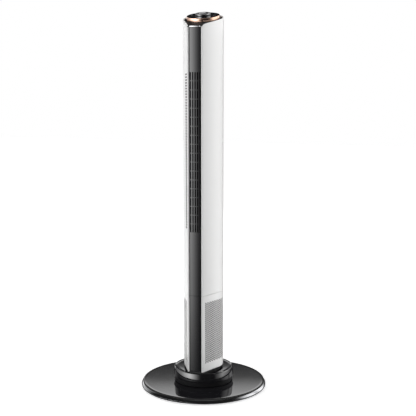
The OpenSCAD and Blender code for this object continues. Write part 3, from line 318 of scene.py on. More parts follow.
def add_piece(name, vertices, faces, finish, body, slot, stands_for=(), joined=(), rounding=0.0):
    """Makes a piece from millimetres, closes its seams and hangs it on its body."""
    mesh = bpy.data.meshes.new(name)
    mesh.from_pydata([tuple(v) for v in np.array(vertices) * 0.001], [], faces)
    shape = bmesh.new()
    shape.from_mesh(mesh)
    for other in joined:
        shape.from_mesh(other)
    bmesh.ops.remove_doubles(shape, verts=shape.verts, dist=WELD)
    loose = [v for v in shape.verts if not v.link_faces]
    bmesh.ops.delete(shape, geom=loose, context="VERTS")
    if shape.calc_volume(signed=True) < 0:
        bmesh.ops.reverse_faces(shape, faces=shape.faces)
    if rounding:
        edges = [e for e in shape.edges if len(e.link_faces) == 2
                 and e.calc_face_angle(0) > math.radians(BEVEL_OVER)]
        bmesh.ops.bevel(shape, geom=edges, offset=rounding * 0.001, segments=BEVEL_STEPS,
                        affect="EDGES", profile=0.5, clamp_overlap=True)
    shape.to_mesh(mesh)
    shape.free()
    mesh.materials.clear()
    mesh.materials.append(finish)
    for face in mesh.polygons:
        face.material_index = 0
    mesh.shade_smooth()
    mesh.set_sharp_from_angle(angle=math.radians(SHARP_OVER))
    made = bpy.data.objects.new(name, mesh)
    bpy.context.scene.collection.objects.link(made)
    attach(made, body)
    if stands_for:
        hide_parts(*stands_for)


def bow(r, z, radius, first, last, steps):
    """Points of a rounded edge about r, z, from one angle to another in degrees."""
    return [(r + radius * math.cos(a), z + radius * math.sin(a))
            for a in np.radians(np.linspace(first, last, steps + 1))]


def turned(outline, steps=192):
    """Spins a closed outline of radius and height round the axis, as a lathe would."""
    n = len(outline)
    vertices = [(r * math.sin(a), -r * math.cos(a), z)
                for a in np.linspace(0, 2 * math.pi, steps, endpoint=False) for r, z in outline]
    faces = [(i * n + j, i * n + (j + 1) % n, (i + 1) % steps * n + (j + 1) % n,
              (i + 1) % steps * n + j) for i in range(steps) for j in range(n)]
    return vertices, faces


def dress(finish, *nodes):
    """Gives parts that keep their shape from the solid model a finish."""
    for node in nodes:
        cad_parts[node].data.materials.clear()
        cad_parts[node].data.materials.append(finish)


def turned_lines(bench, place, width):
    """Fine lines that run round the axis, as a lathe or a polishing wheel leaves them."""
    axes = bench.node("ShaderNodeSeparateXYZ", sockets={"Vector": place})
    x, y, z = (Amount(bench, socket) for socket in axes.outputs)
    radius = (x * x + y * y) ** 0.5
    rings = bench.amount("ShaderNodeCombineXYZ", sockets={"X": radius / width, "Y": z / width})
    return bench.amount("ShaderNodeTexNoise", sockets={
        "Vector": rings, "Scale": 1.0, "Detail": 2.0})


def gloss_black(name, ior, lines=0.0):
    """Polished black plastic with faint smudges, and fine lines round the axis if asked for."""
    finish, bench, shader, place = new_finish(name, IOR=ior)
    feed(bench, shader, "Base Color", blend_of(
        bench, grain(bench, place, 0.2), (0.008, 0.008, 0.009), (0.013, 0.013, 0.015)))
    feed(bench, shader, "Roughness", 0.03 + 0.06 * grain(bench, place, 0.035, 4) ** 2)
    height = grain(bench, place, 0.012, 1)
    if lines:
        height = height * 0.4 + turned_lines(bench, place, lines)
    relief(bench, shader, height, 0.000005)
    return finish


DISC_R, DISC_TOP, DISC_T, DISC_ROLL = 156.8, 15.2, 3.0, 1.6
DISC_HOLE_R, DISC_RINGS = 24.0, (60, 110, 150)
SKIRT_R, SKIRT_T, SKIRT_LOW, SKIRT_STEP = 157.4, 2.4, 2.6, 0.3
disc_under = DISC_TOP - DISC_T
add_piece("gloss_disc", *turned([
    *[(r, DISC_TOP) for r in (DISC_HOLE_R, *DISC_RINGS)],
    *bow(DISC_R - DISC_ROLL, DISC_TOP - DISC_ROLL, DISC_ROLL, 90, 0, 10),
    (DISC_R, disc_under), (SKIRT_R, disc_under - SKIRT_STEP), (SKIRT_R, SKIRT_LOW),
    (SKIRT_R - SKIRT_T, SKIRT_LOW), (SKIRT_R - SKIRT_T, disc_under), (DISC_HOLE_R, disc_under)]),
    gloss_black("disc_black", 1.6), "base", "gloss_black", ["base_disc"])

RIM_R, RIM_LOW, RIM_TOP, RIM_IN = 162.95, 3.4, 12.2, 157.7
RIM_FOLD, SHOULDER_R, SHOULDER_Z = 0.6, 0.8, 6.2
RIM_CONE = [(161.9, 8.1), (160.7, 9.9), (159.3, 11.7), (158.6, RIM_TOP)]
rim_chrome, bench, shader, place = new_finish("rim_chrome", Metallic=1.0)
feed(bench, shader, "Base Color", blend_of(
    bench, grain(bench, place, 0.03, 3), (0.36, 0.365, 0.375), (0.44, 0.445, 0.455)))
feed(bench, shader, "Roughness", 0.10 + 0.10 * turned_lines(bench, place, 0.0006))
relief(bench, shader, turned_lines(bench, place, 0.0007), 0.00003)
add_piece("polished_rim", *turned([
    (RIM_IN, RIM_LOW), (RIM_R - 1.5 * RIM_FOLD, RIM_LOW),
    *bow(RIM_R - RIM_FOLD, RIM_LOW + RIM_FOLD, RIM_FOLD, -75, 0, 5),
    *bow(RIM_R - SHOULDER_R, SHOULDER_Z, SHOULDER_R, 3, 29, 4), *RIM_CONE, (RIM_IN, RIM_TOP)]),
    rim_chrome, "base", "dark_chrome", ["base_rim"])


def even_finish(name, dark, light, patches, rough, sheen, skin, depth, **constants):
    """A material whose tone lies between two colours and its roughness between two values. Its
    patches, sheen and skin are grains, each given as a size in metres and a detail."""
    finish, bench, shader, place = new_finish(name, **constants)
    smooth, coarse = rough
    feed(bench, shader, "Base Color", blend_of(bench, grain(bench, place, *patches), dark, light))
    feed(bench, shader, "Roughness", smooth + (coarse - smooth) * grain(bench, place, *sheen))
    relief(bench, shader, grain(bench, place, *skin), depth)
    return finish


satin_black = even_finish(
    "satin_black", dark=(0.010, 0.010, 0.011), light=(0.017, 0.017, 0.018), patches=(0.05, 2),
    rough=(0.40, 0.56), sheen=(0.006, 3), skin=(0.0006, 2), depth=0.00003, IOR=1.45)
dress(satin_black, "base_tray")
painted_iron = even_finish(
    "painted_iron", dark=(0.05, 0.05, 0.055), light=(0.10, 0.10, 0.105), patches=(0.01, 4),
    rough=(0.5, 0.7), sheen=(0.004, 3), skin=(0.0015, 4), depth=0.0002, IOR=1.5)
dress(painted_iron, "base_weight")

# The black ring between disc and rim is a painted shadow: it stands in for the shade in the gap
# there.
GAP_SHADE_R, GAP_SHADE_ROLL, GAP_SHADE_TOP, GAP_SHADE_CLEAR = 159.1, 1.0, 14.3, 0.1
black_rubber = even_finish(
    "black_rubber", dark=(0.016, 0.016, 0.016), light=(0.030, 0.029, 0.028), patches=(0.02, 4),
    rough=(0.7, 0.9), sheen=(0.002, 3), skin=(0.0008, 3), depth=0.00005, IOR=1.45)
dress(black_rubber, "rubber_feet")
add_piece("edge_gasket", *turned([
    (DISC_R + GAP_SHADE_CLEAR, RIM_TOP + GAP_SHADE_CLEAR), (GAP_SHADE_R - GAP_SHADE_CLEAR, RIM_TOP + GAP_SHADE_CLEAR),
    (GAP_SHADE_R, RIM_TOP + 5 * GAP_SHADE_CLEAR),
    *bow(GAP_SHADE_R - GAP_SHADE_ROLL, GAP_SHADE_TOP - GAP_SHADE_ROLL, GAP_SHADE_ROLL, 0, 90, 4),
    (DISC_R + GAP_SHADE_CLEAR, GAP_SHADE_TOP + GAP_SHADE_CLEAR)]), black_rubber, "base", "rubber")

# The screws are zinc plated steel with low heads and a cross recess. They sit on circles, in one
# or more rows, so one tree of nodes places them all.
zinc_steel = even_finish(
    "zinc_steel", dark=(0.52, 0.53, 0.55), light=(0.66, 0.66, 0.67), patches=(0.003, 3),
    rough=(0.22, 0.42), sheen=(0.0015, 3), skin=(0.0004, 2), depth=0.00001, Metallic=1.0)


def screw_mesh(name, head_r, top_r, head_h, shank_r, shank):
    """A screw that stands on z = 0 with its head up and its shank down, in metres."""
    arm, reach, deep = 0.16 * head_r, 0.46 * head_r, 0.55 * head_h
    cross = [(reach, -arm), (reach, arm), (arm, arm), (arm, reach), (-arm, reach), (-arm, arm),
             (-reach, arm), (-reach, -arm), (-arm, -arm), (-arm, -reach), (arm, -reach),
             (arm, -arm)]
    bearings = [math.atan2(y, x) for x, y in cross]

    def ring(r, z):
        return [(r * math.cos(a), r * math.sin(a), z) for a in bearings]

    rings = [[(x, y, head_h - deep) for x, y in cross], [(x, y, head_h) for x, y in cross],
             ring(top_r, head_h), ring((top_r + head_r) / 2, head_h * 0.82), ring(head_r, 0),
             ring(shank_r, 0), ring(shank_r, -shank)]
    n = len(cross)
    vertices = [tuple(c * 0.001 for c in point) for row in rings for point in row]
    faces = [(r * n + i, (r + 1) * n + i, (r + 1) * n + (i + 1) % n, r * n + (i + 1) % n)
             for r in range(len(rings) - 1) for i in range(n)]
    faces += [tuple(range(n)), tuple(reversed(range((len(rings) - 1) * n, len(rings) * n)))]
    mesh = bpy.data.meshes.new(name)
    mesh.from_pydata(vertices, [], faces)
    return mesh


def repeat_tree(name, sizes):
    """An empty tree for a shape that repeats, with its bench and its named sizes."""
    tree = bpy.data.node_groups.new(name, "GeometryNodeTree")
    tree.interface.new_socket("Geometry", in_out="INPUT", socket_type="NodeSocketGeometry")
    for label, value in sizes.items():
        kind = "NodeSocketInt" if isinstance(value, int) else "NodeSocketFloat"
        tree.interface.new_socket(label, in_out="INPUT", socket_type=kind).default_value = value
    tree.interface.new_socket("Finish", in_out="INPUT", socket_type="NodeSocketMaterial")
    tree.interface.new_socket("Geometry", in_out="OUTPUT", socket_type="NodeSocketGeometry")
    bench = Bench(tree)
    given = bench.node("NodeGroupInput")
    return tree, bench, {s.name: Amount(bench, s) for s in given.outputs if s.name}


def repeated(tree, shape, finish, **sizes):
    """The repeated shape as a plain mesh, with the tree's sizes given in metres."""
    holder = bpy.data.objects.new(shape.name + "_repeat", shape)
    bpy.context.scene.collection.objects.link(holder)
    repeat = holder.modifiers.new("repeat", "NODES")
    repeat.node_group = tree
    for item in tree.interface.items_tree:
        if item.in_out == "INPUT" and item.name in sizes:
            repeat[item.identifier] = sizes[item.name]
        elif item.in_out == "INPUT" and item.name == "Finish":
            repeat[item.identifier] = finish
    bpy.context.view_layer.update()
    held = holder.evaluated_get(bpy.context.evaluated_depsgraph_get())
    mesh = bpy.data.meshes.new_from_object(held)
    holder.modifiers.remove(repeat)
    bpy.data.objects.remove(holder)
    return mesh


def set_out(bench, size, count, spot, **placing):
    """The tree's shape set on a number of spots, joined into one mesh."""
    spots = bench.amount("GeometryNodeMeshLine", sockets={"Count": count})
    spots = bench.amount("GeometryNodeSetPosition", sockets={"Geometry": spots, "Position": spot})
    copies = bench.amount("GeometryNodeInstanceOnPoints", sockets={
        "Points": spots, "Instance": size["Geometry"], **placing})
    return bench.amount("GeometryNodeRealizeInstances", sockets={"Geometry": copies})


def hand_out(bench, size, copies):
    """Ends a tree: the copies get the finish and leave it."""
    finished = bench.amount("GeometryNodeSetMaterial", sockets={
        "Geometry": copies, "Material": size["Finish"]})
    bench.node("NodeGroupOutput", sockets={"Geometry": finished})


screw_tree, bench, size = repeat_tree("screws_on_circles", {
    "Per circle": 6, "Rows": 1, "Circle": 0.1, "First angle": 0.0, "Angle step": 1.0,
    "Low height": 0.0, "Row step": 0.1, "Lean": 0.0})
index = bench.amount("GeometryNodeInputIndex")
row = index.sum("FLOOR", (index + 0.5) / size["Per circle"])
angle = size["First angle"] + (index - row * size["Per circle"]) * size["Angle step"]
spot = bench.amount("ShaderNodeCombineXYZ", sockets={
    "X": size["Circle"] * angle.sum("COSINE", angle),
    "Y": size["Circle"] * angle.sum("SINE", angle),
    "Z": size["Low height"] + row * size["Row step"]})
hand_out(bench, size, set_out(
    bench, size, size["Per circle"] * size["Rows"], spot,
    Rotation=bench.amount("ShaderNodeCombineXYZ", sockets={"Y": size["Lean"], "Z": angle})))

plate_screw = screw_mesh("plate_screw", head_r=3.1, top_r=2.9, head_h=0.4, shank_r=1.4, shank=6.0)
add_piece("plate_screws", [], [], zinc_steel, "base", "steel", ["tray_screws"], [repeated(
    screw_tree, plate_screw, zinc_steel, **{
        "Per circle": 6, "Rows": 1, "Circle": 0.116, "Angle step": math.radians(60),
        "Low height": 0.0027, "Lean": math.pi})])

# The boss is a dull black moulding, screwed to the disc from below, and stands still. It holds the
# acetal bush, the glide ring and the ring gear of the swing drive, and the mains cord's grommet
# sits in its back.
dull_black = even_finish(
    "dull_black", dark=(0.010, 0.010, 0.011), light=(0.016, 0.016, 0.017), patches=(0.03, 2),
    rough=(0.45, 0.60), sheen=(0.004, 3), skin=(0.0006, 2), depth=0.00003, IOR=1.2)
acetal = even_finish(
    "natural_acetal", dark=(0.70, 0.69, 0.65), light=(0.78, 0.77, 0.73), patches=(0.01, 3),
    rough=(0.35, 0.50), sheen=(0.003, 3), skin=(0.001, 2), depth=0.00001, IOR=1.48)
dress(dull_black, "boss_body")
dress(black_rubber, "cord_grommet")
dress(zinc_steel, "boss_screws", "gear_screws")
dress(acetal, "pivot_bush", "glide_ring", "ring_gear")

# The turning collar is one gloss black moulding with a thin raised edge round a dished top. It
# carries the column's foot, the steel spindle and the swing motor with its pinion.
COLLAR_R, COLLAR_LOW, COLLAR_TOP, COLLAR_DECK = 77.9, 28.4, 52.3, 51.5
COLLAR_ROLL, EDGE_R, COLLAR_IN, COLLAR_UNDER = 0.6, 74.9, 75.0, 48.5
HUB_R, HUB_LOW, SPINDLE_R = 24.0, 41.8, 10.0
COLLAR_DISH = [(50, 0), (64, 0.1), (71, 0.3), (73.4, 0)]
COLLAR_SIDE = [(76.2, 49.6), (76.9, 44.0), (77.4, 38.0), (77.75, 32.0)]
add_piece("turning_collar", *turned([
    (SPINDLE_R, COLLAR_DECK), *[(r, COLLAR_DECK - dip) for r, dip in COLLAR_DISH],
    (EDGE_R - 0.7, COLLAR_TOP - COLLAR_ROLL / 2),
    *bow(EDGE_R, COLLAR_TOP - COLLAR_ROLL, COLLAR_ROLL, 90, 20, 4), *COLLAR_SIDE,
    *bow(COLLAR_R - COLLAR_ROLL, COLLAR_LOW + COLLAR_ROLL, COLLAR_ROLL, 10, -90, 4),
    (COLLAR_IN, COLLAR_LOW), (COLLAR_IN, COLLAR_UNDER), (HUB_R, COLLAR_UNDER), (HUB_R, HUB_LOW),
    (SPINDLE_R, HUB_LOW)]),
    gloss_black("collar_black", 1.8, 0.0012), "column", "gloss_black", ["turntable_collar"])
dress(satin_black, "column_foot")
dress(zinc_steel, "pivot_spindle", "spindle_nut", "foot_screws")
dress(acetal, "swing_pinion")
motor_can, bench, shader, place = new_finish("motor_can", Metallic=1.0)
spangle = bench.amount("ShaderNodeTexVoronoi", sockets={"Vector": place, "Scale": 180.0},
                       output="Distance")
feed(bench, shader, "Base Color", blend_of(bench, spangle, (0.36, 0.38, 0.40), (0.55, 0.57, 0.60)))
feed(bench, shader, "Roughness", 0.28 + 0.3 * spangle)
relief(bench, shader, grain(bench, place, 0.002, 2), 0.00001)
dress(motor_can, "swing_motor")

# The white casing is glossy moulded plastic, 2.6 mm thick: a lower shell and two upper halves,
# left and right as one faces the fan. Two flat flanks close in from the round back toward the
# front and end in rounded lips.
BARREL_R = 51.0
WALL = 2.6
TURN = math.radians(115)
ARC = BARREL_R * TURN
OPENING = 15.9
LIP_R = 2.1
FRONT = 79.163
LIP_Y = -FRONT + LIP_R
LIP_X = OPENING + LIP_R
LIP_POINTS = 10
FLANK = 62.23
FOOT_Z, SEAM_LOW, SEAM_HIGH, TOP_Z = 58.0, 256.6, 257.4, 950.0
TILT = math.radians(12.7)
CORNER_R, CORNER_OUT = 15.0, 1.0
CROWN, CROWN_STEPS = 1.2, 5
casing_white = even_finish(
    "casing_white", dark=(0.79, 0.79, 0.785), light=(0.83, 0.83, 0.826), patches=(0.11, 3),
    rough=(0.25, 0.35), sheen=(0.02, 4), skin=(0.0011, 2), depth=0.000012, IOR=1.5)


def on_section(u, w=0.0):
    """The plan's point at u along the wall from the middle of the back, w over its face."""
    a = min(abs(u), ARC) / BARREL_R
    rest = max(abs(u) - ARC, 0)
    x = (BARREL_R + w) * math.sin(a) + rest * math.cos(TURN)
    y = (BARREL_R + w) * math.cos(a) - rest * math.sin(TURN)
    return (-math.copysign(x, u), y)


def wall_run(stations, right_lip=True, left_lip=True):
    """Paired outer and inner points of the wall, from its right lip round to its left lip."""
    lip_outer = [(LIP_X + LIP_R * math.cos(a), LIP_Y + LIP_R * math.sin(a))
                 for a in np.radians(np.linspace(-180, -25, LIP_POINTS))]
    mouth = np.array([OPENING, LIP_Y + 2.0])
    taper = np.array([19.13, LIP_Y + 3.6])
    lip_inner = [tuple(mouth * (1 - s) + taper * s) for s in np.linspace(0, 1, LIP_POINTS)]
    outer = [on_section(u) for u in stations]
    inner = [on_section(u, -WALL) for u in stations]
    if right_lip:
        outer, inner = lip_outer + outer, lip_inner + inner
    if left_lip:
        outer += [(-x, y) for x, y in reversed(lip_outer)]
        inner += [(-x, y) for x, y in reversed(lip_inner)]
    return np.array(outer), np.array(inner)


def top_edge(y):
    """Height of the casing's sloping top edge, with its rounded front corner."""
    corner_y = -FRONT - CORNER_OUT + CORNER_R
    corner_z = TOP_Z + corner_y * math.tan(TILT) - CORNER_R / math.cos(TILT)
    slope = TOP_Z + y * math.tan(TILT)
    bent = corner_z + np.sqrt(np.maximum(CORNER_R ** 2 - (y - corner_y) ** 2, 0))
    return np.where(y < corner_y - CORNER_R * math.sin(TILT), bent, slope)


def wall_mesh(outer, inner, levels, kept=None, slanted_top=False):
    """Vertices and faces of a wall. kept holds 1 where there is wall, 0 at an opening and -1
    where a punched panel joins on. Without it the wall has no opening."""
    n, m = len(outer), len(levels)
    if kept is None:
        kept = np.ones((n - 1, m - 1), int)
    vertices, faces = [], []
    for plan in (outer, inner):
        for k in range(n):
            for j, z in enumerate(levels):
                if slanted_top and j == m - 1:
                    z = float(top_edge(outer[k][1])) - CROWN
                vertices.append((plan[k][0], plan[k][1], z))

    def out(k, j):
        return k * m + j

    def back(k, j):
        return n * m + k * m + j

    def state(k, j):
        if 0 <= k < n - 1 and 0 <= j < m - 1:
            return kept[k, j]
        return 0

    first_crown = len(vertices)
    if slanted_top:
        for k in range(n):
            for c in range(1, CROWN_STEPS + 1):
                a = math.pi * c / (CROWN_STEPS + 1)
                x, y = outer[k] + (inner[k] - outer[k]) * (1 - math.cos(a)) / 2
                top = float(top_edge(outer[k][1]))
                vertices.append((x, y, top - CROWN + CROWN * math.sin(a)))

    def over(k):
        start = first_crown + k * CROWN_STEPS
        return [out(k, m - 1), *range(start, start + CROWN_STEPS), back(k, m - 1)]

    for k in range(n - 1):
        for j in range(m - 1):
            if kept[k, j] != 1:
                continue
            faces.append((out(k, j), out(k + 1, j), out(k + 1, j + 1), out(k, j + 1)))
            faces.append((back(k, j + 1), back(k + 1, j + 1), back(k + 1, j), back(k, j)))
            if state(k, j - 1) == 0:
                faces.append((out(k + 1, j), out(k, j), back(k, j), back(k + 1, j)))
            if state(k, j + 1) == 0 and not (slanted_top and j == m - 2):
                faces.append((out(k, j + 1), out(k + 1, j + 1), back(k + 1, j + 1),
                              back(k, j + 1)))
            if state(k - 1, j) == 0:
                faces.append((out(k, j), out(k, j + 1), back(k, j + 1), back(k, j)))
            if state(k + 1, j) == 0:
                faces.append((out(k + 1, j + 1), out(k + 1, j), back(k + 1, j),
                              back(k + 1, j + 1)))
        if slanted_top:
            here, there = over(k), over(k + 1)
            for c in range(len(here) - 1):
                faces.append((here[c], there[c], there[c + 1], here[c + 1]))
    if slanted_top:
        faces.append(tuple(over(0)))
        faces.append(tuple(reversed(over(n - 1))))
    return np.array(vertices), faces


# The perforated and slotted panels are moulded with the casing. Cells with one hole each repeat
# over rows and columns, and are bent to the casing's section. The same tree makes the rear grille.
def cell_mesh(name, rim, hole, depth):
    """One cell of a punched panel in metres, with its hole going through."""
    n = len(rim)
    rings = [(rim, 0.0), (hole, 0.0), (hole, -depth), (rim, -depth)]
    vertices = [(u * 0.001, v * 0.001, w * 0.001) for ring, w in rings for u, v in ring]
    faces = [(r * n + i, r * n + (i + 1) % n, (r + 1) * n + (i + 1) % n, (r + 1) * n + i)
             for r in range(3) for i in range(n)]
    mesh = bpy.data.meshes.new(name)
    mesh.from_pydata(vertices, [], faces)
    return mesh


def slot_cell(name, width, height, length, slot_h, depth, slant=0.0, steps=1):
    """A cell with a slot that has round ends."""
    r = slot_h / 2
    end = length / 2 - r
    along = np.linspace(-end, end, steps + 1)
    ends = [-90, -45, 0, 45, 90]
    hole = [(end + r * math.cos(math.radians(a)), r * math.sin(math.radians(a))) for a in ends]
    rim = [(end, -height / 2), (width / 2, -height / 2), (width / 2, 0), (width / 2, height / 2),
           (end, height / 2)]
    for u in along[-2:0:-1]:
        hole.append((u, r))
        rim.append((u, height / 2))
    hole += [(-end - r * math.cos(math.radians(a)), -r * math.sin(math.radians(a))) for a in ends]
    rim += [(-end, height / 2), (-width / 2, height / 2), (-width / 2, 0),
            (-width / 2, -height / 2), (-end, -height / 2)]
    for u in along[1:-1]:
        hole.append((u, -r))
        rim.append((u, -height / 2))
    hole = [(u, v + u * math.tan(slant)) for u, v in hole]
    return cell_mesh(name, rim, hole, depth)


def plain_cell(name, width, height, depth):
    """A cell without a hole, for the ends of the staggered columns."""
    w, h, d = width * 0.0005, height * 0.0005, depth * 0.001
    mesh = bpy.data.meshes.new(name)
    mesh.from_pydata([(-w, -h, 0), (w, -h, 0), (w, h, 0), (-w, h, 0),
                      (-w, -h, -d), (w, -h, -d), (w, h, -d), (-w, h, -d)], [],
                     [(0, 1, 2, 3), (7, 6, 5, 4)])
    return mesh


punch_tree, bench, size = repeat_tree("punched_panel", {
    "Columns": 1, "Rows": 1, "Column pitch": 0.01, "Row pitch": 0.01, "First column": 0.0,
    "First row": 0.0, "Stagger": 0.0, "Radius": 0.051, "Arc": 0.1})
index = bench.amount("GeometryNodeInputIndex")
column = index.sum("FLOOR", (index + 0.5) / size["Rows"])
row = index - column * size["Rows"]
odd = column % 2
spot = bench.amount("ShaderNodeCombineXYZ", sockets={
    "X": size["First column"] + column * size["Column pitch"],
    "Y": size["First row"] + (row + odd * size["Stagger"]) * size["Row pitch"]})
over_end = odd * (size["Stagger"] > 0) * (row > size["Rows"] - 1.5)
cells = set_out(bench, size, size["Columns"] * size["Rows"], spot, Selection=over_end < 0.5)
flat = bench.node("ShaderNodeSeparateXYZ", sockets={
    "Vector": bench.amount("GeometryNodeInputPosition")})
u, v, w = (Amount(bench, socket) for socket in flat.outputs)
bend = abs(u).sum("MINIMUM", abs(u), size["Arc"]) / size["Radius"]
rest = abs(u).sum("MAXIMUM", abs(u) - size["Arc"], 0.0)
reach = size["Radius"] + w
bent = bench.amount("ShaderNodeCombineXYZ", sockets={
    "X": (0 - u.sum("SIGN", u)) * (reach * bend.sum("SINE", bend) + rest * math.cos(TURN)),
    "Y": reach * bend.sum("COSINE", bend) - rest * math.sin(TURN), "Z": v})
hand_out(bench, size, bench.amount("GeometryNodeSetPosition", sockets={
    "Geometry": cells, "Position": bent}))


def punched(cell, finish, columns, rows, column_pitch, row_pitch, first_column, first_row,
            stagger=0.0):
    """A bent panel of cells, with its sizes given in millimetres."""
    return repeated(punch_tree, cell, finish, **{
        "Columns": columns, "Rows": rows, "Column pitch": column_pitch * 0.001,
        "Row pitch": row_pitch * 0.001, "First column": first_column * 0.001,
        "First row": first_row * 0.001, "Stagger": stagger, "Radius": BARREL_R * 0.001,
        "Arc": ARC * 0.001})


# The sheet below lies just under the casing's face inside its holes and slots and makes them dark:
# painted shade for the casing's shadowed inside.
SHADE_SHEET_DEPTH, SHADE_SHEET_T, SHADE_SHEET_OVER = 0.4, 1.0, 2
filter_fleece = even_finish(
    "filter_fleece", dark=(0.012, 0.012, 0.013), light=(0.045, 0.045, 0.047), patches=(0.0012, 4),
    rough=(0.85, 0.95), sheen=(0.002, 2), skin=(0.0007, 4), depth=0.0002, IOR=1.05)


def hole_shade_sheet(name, stations, low, high):
    """A thin sheet of black fleece that fills the holes of a panel to just under its face, so that
    they look dark: painted shade in the holes.
    """
    outer = np.array([on_section(u, -SHADE_SHEET_DEPTH) for u in stations])
    inner = np.array([on_section(u, -SHADE_SHEET_DEPTH - SHADE_SHEET_T) for u in stations])
    levels = [low - SHADE_SHEET_OVER, (low + high) / 2, high + SHADE_SHEET_OVER]
    add_piece(name, *wall_mesh(outer, inner, levels), filter_fleece, "column", "matte_black")


# The lower shell is one white moulding, finely perforated round its flanks and back with staggered
# six-sided holes. A black sheet in them paints the shade inside the holes. The power board stands
# inside.
HOLE_COLUMNS, HOLE_ROWS, HOLE_PITCH, HOLE_R = 69, 31, 5.2, 2.25
PANEL_EDGE = ARC + FLANK - 9.0
HOLE_STEP = 2 * PANEL_EDGE / HOLE_COLUMNS
PANEL_LOW = 78.3
LINE_BELOW, LINE_ABOVE = 68.0, 248.0
hexagon = np.radians([0, 60, 120, 180, 240, 300])
half_step, half_pitch = HOLE_STEP / 2, HOLE_PITCH / 2
hole_cell = cell_mesh(
    "hole_cell",
    [(half_step, 0), (half_step, half_pitch), (-half_step, half_pitch), (-half_step, 0),
     (-half_step, -half_pitch), (half_step, -half_pitch)],
    [(HOLE_R * math.cos(a), HOLE_R * math.sin(a)) for a in hexagon], WALL)
perforation = punched(
    hole_cell, casing_white, columns=HOLE_COLUMNS, rows=HOLE_ROWS, column_pitch=HOLE_STEP,
    row_pitch=HOLE_PITCH, first_column=-PANEL_EDGE + half_step, first_row=PANEL_LOW + half_pitch,
    stagger=0.5)
column_ends = punched(
    plain_cell("column_end", HOLE_STEP, half_pitch, WALL), casing_white, columns=HOLE_COLUMNS // 2,
    rows=2, column_pitch=2 * HOLE_STEP, row_pitch=HOLE_ROWS * HOLE_PITCH - half_pitch,
    first_column=-PANEL_EDGE + 3 * half_step, first_row=PANEL_LOW + half_pitch / 2)
panel_lines = [-PANEL_EDGE + k * HOLE_STEP for k in range(HOLE_COLUMNS + 1)]
outer, inner = wall_run(panel_lines)
levels = [FOOT_Z, LINE_BELOW, *[PANEL_LOW + k * half_pitch for k in range(2 * HOLE_ROWS + 1)],
          LINE_ABOVE, SEAM_LOW - 0.5, SEAM_LOW]
kept = np.ones((len(outer) - 1, len(levels) - 1), int)
kept[LIP_POINTS:LIP_POINTS + HOLE_COLUMNS, 2:2 + 2 * HOLE_ROWS] = -1
add_piece("lower_casing", *wall_mesh(outer, inner, levels, kept), casing_white, "column",
          "casing_white", ["lower_shell"], [perforation, column_ends])
# A black sheet just under the face darkens the holes: painted shade.
hole_shade_sheet("lower_filter", [-PANEL_EDGE - SHADE_SHEET_OVER, *panel_lines, PANEL_EDGE + SHADE_SHEET_OVER],
             PANEL_LOW, PANEL_LOW + HOLE_ROWS * HOLE_PITCH)

board_green, bench, shader, place = new_finish("circuit_board", IOR=1.5)
tracks = bench.amount("ShaderNodeTexBrick", {"offset": 0.4}, {
    "Vector": place, "Scale": 160.0, "Mortar Size": 0.06, "Color1": (0, 0, 0, 1),
    "Color2": (0.25, 0.25, 0.25, 1), "Mortar": (1, 1, 1, 1)})
feed(bench, shader, "Base Color", blend_of(bench, tracks, (0.02, 0.13, 0.06), (0.05, 0.24, 0.12)))
feed(bench, shader, "Roughness", 0.3 + 0.25 * grain(bench, place, 0.003, 3))
relief(bench, shader, tracks, 0.00003)
dress(board_green, "power_board")
dress(satin_black, "seam_bulkhead")

# The upper casing is two white halves that meet at the back. The left flank has a row of slanted
# air slots, with a black sheet in them that paints their inner shade, and the opening behind takes
# the intake grille.
SLOT_COLUMN, SLOT_ROWS, SLOT_PITCH = 45.263, 56, 6.95
SLOT_LOW = 430.0 - SLOT_PITCH / 2
GRILLE_LOW, GRILLE_H = 404.4, 411.6
GRILLE_EDGE, GRILLE_GAP = BARREL_R * math.radians(52), 0.2
INLET_CELL_W, INLET_LENGTH, INLET_H, INLET_SLANT = 28, 24, 4.0, math.radians(3)
inlet_cell = slot_cell("inlet_cell", width=INLET_CELL_W, height=SLOT_PITCH, length=INLET_LENGTH,
                       slot_h=INLET_H, depth=WALL, slant=INLET_SLANT)
inlets = punched(inlet_cell, casing_white, columns=1, rows=SLOT_ROWS, column_pitch=1.0,
                 row_pitch=SLOT_PITCH, first_column=ARC + SLOT_COLUMN,
                 first_row=SLOT_LOW + SLOT_PITCH / 2)
inlet_edge, inlet_end = INLET_CELL_W / 2, (INLET_LENGTH - INLET_H) / 2
arc_lines = [0.1, 12, 24, 36, GRILLE_EDGE]
arc_lines += [BARREL_R * math.radians(a) for a in range(56, 115, 4)]
flank_lines = [ARC, ARC + 16]
flank_lines += [ARC + SLOT_COLUMN + d for d in (-inlet_edge, -inlet_end, inlet_end, inlet_edge)]
flank_lines += [ARC + FLANK - 0.6]
half_lines = np.array(arc_lines + flank_lines)
levels = [SEAM_HIGH, SEAM_HIGH + 0.5, 300.0, GRILLE_LOW - GRILLE_GAP,
          *[SLOT_LOW + k * SLOT_PITCH / 2 for k in range(2 * SLOT_ROWS + 1)],
          GRILLE_LOW + GRILLE_H + GRILLE_GAP, 870.0, 905.0, TOP_Z]
opening = slice(3, 3 + 1 + 2 * SLOT_ROWS + 1)
for half, sign in (("left", 1), ("right", -1)):
    stations = half_lines if sign > 0 else -half_lines[::-1]
    outer, inner = wall_run(stations, right_lip=sign < 0, left_lip=sign > 0)
    kept = np.ones((len(outer) - 1, len(levels) - 1), int)
    if sign > 0:
        kept[:4, opening] = 0
        first = len(arc_lines) + 2
        kept[first:first + 3, 4:4 + 2 * SLOT_ROWS] = -1
    else:
        kept[-4:, opening] = 0
    add_piece(half + "_casing", *wall_mesh(outer, inner, levels, kept, slanted_top=True),
              casing_white, "column", "casing_white", [half + "_shell"],
              [inlets] if sign > 0 else [])
# A black sheet just under the face darkens the inlet slots: painted shade.
hole_shade_sheet("inlet_filter", [ARC + SLOT_COLUMN + d for d in (-13.5, 0, 13.5)], SLOT_LOW,
             SLOT_LOW + SLOT_ROWS * SLOT_PITCH)

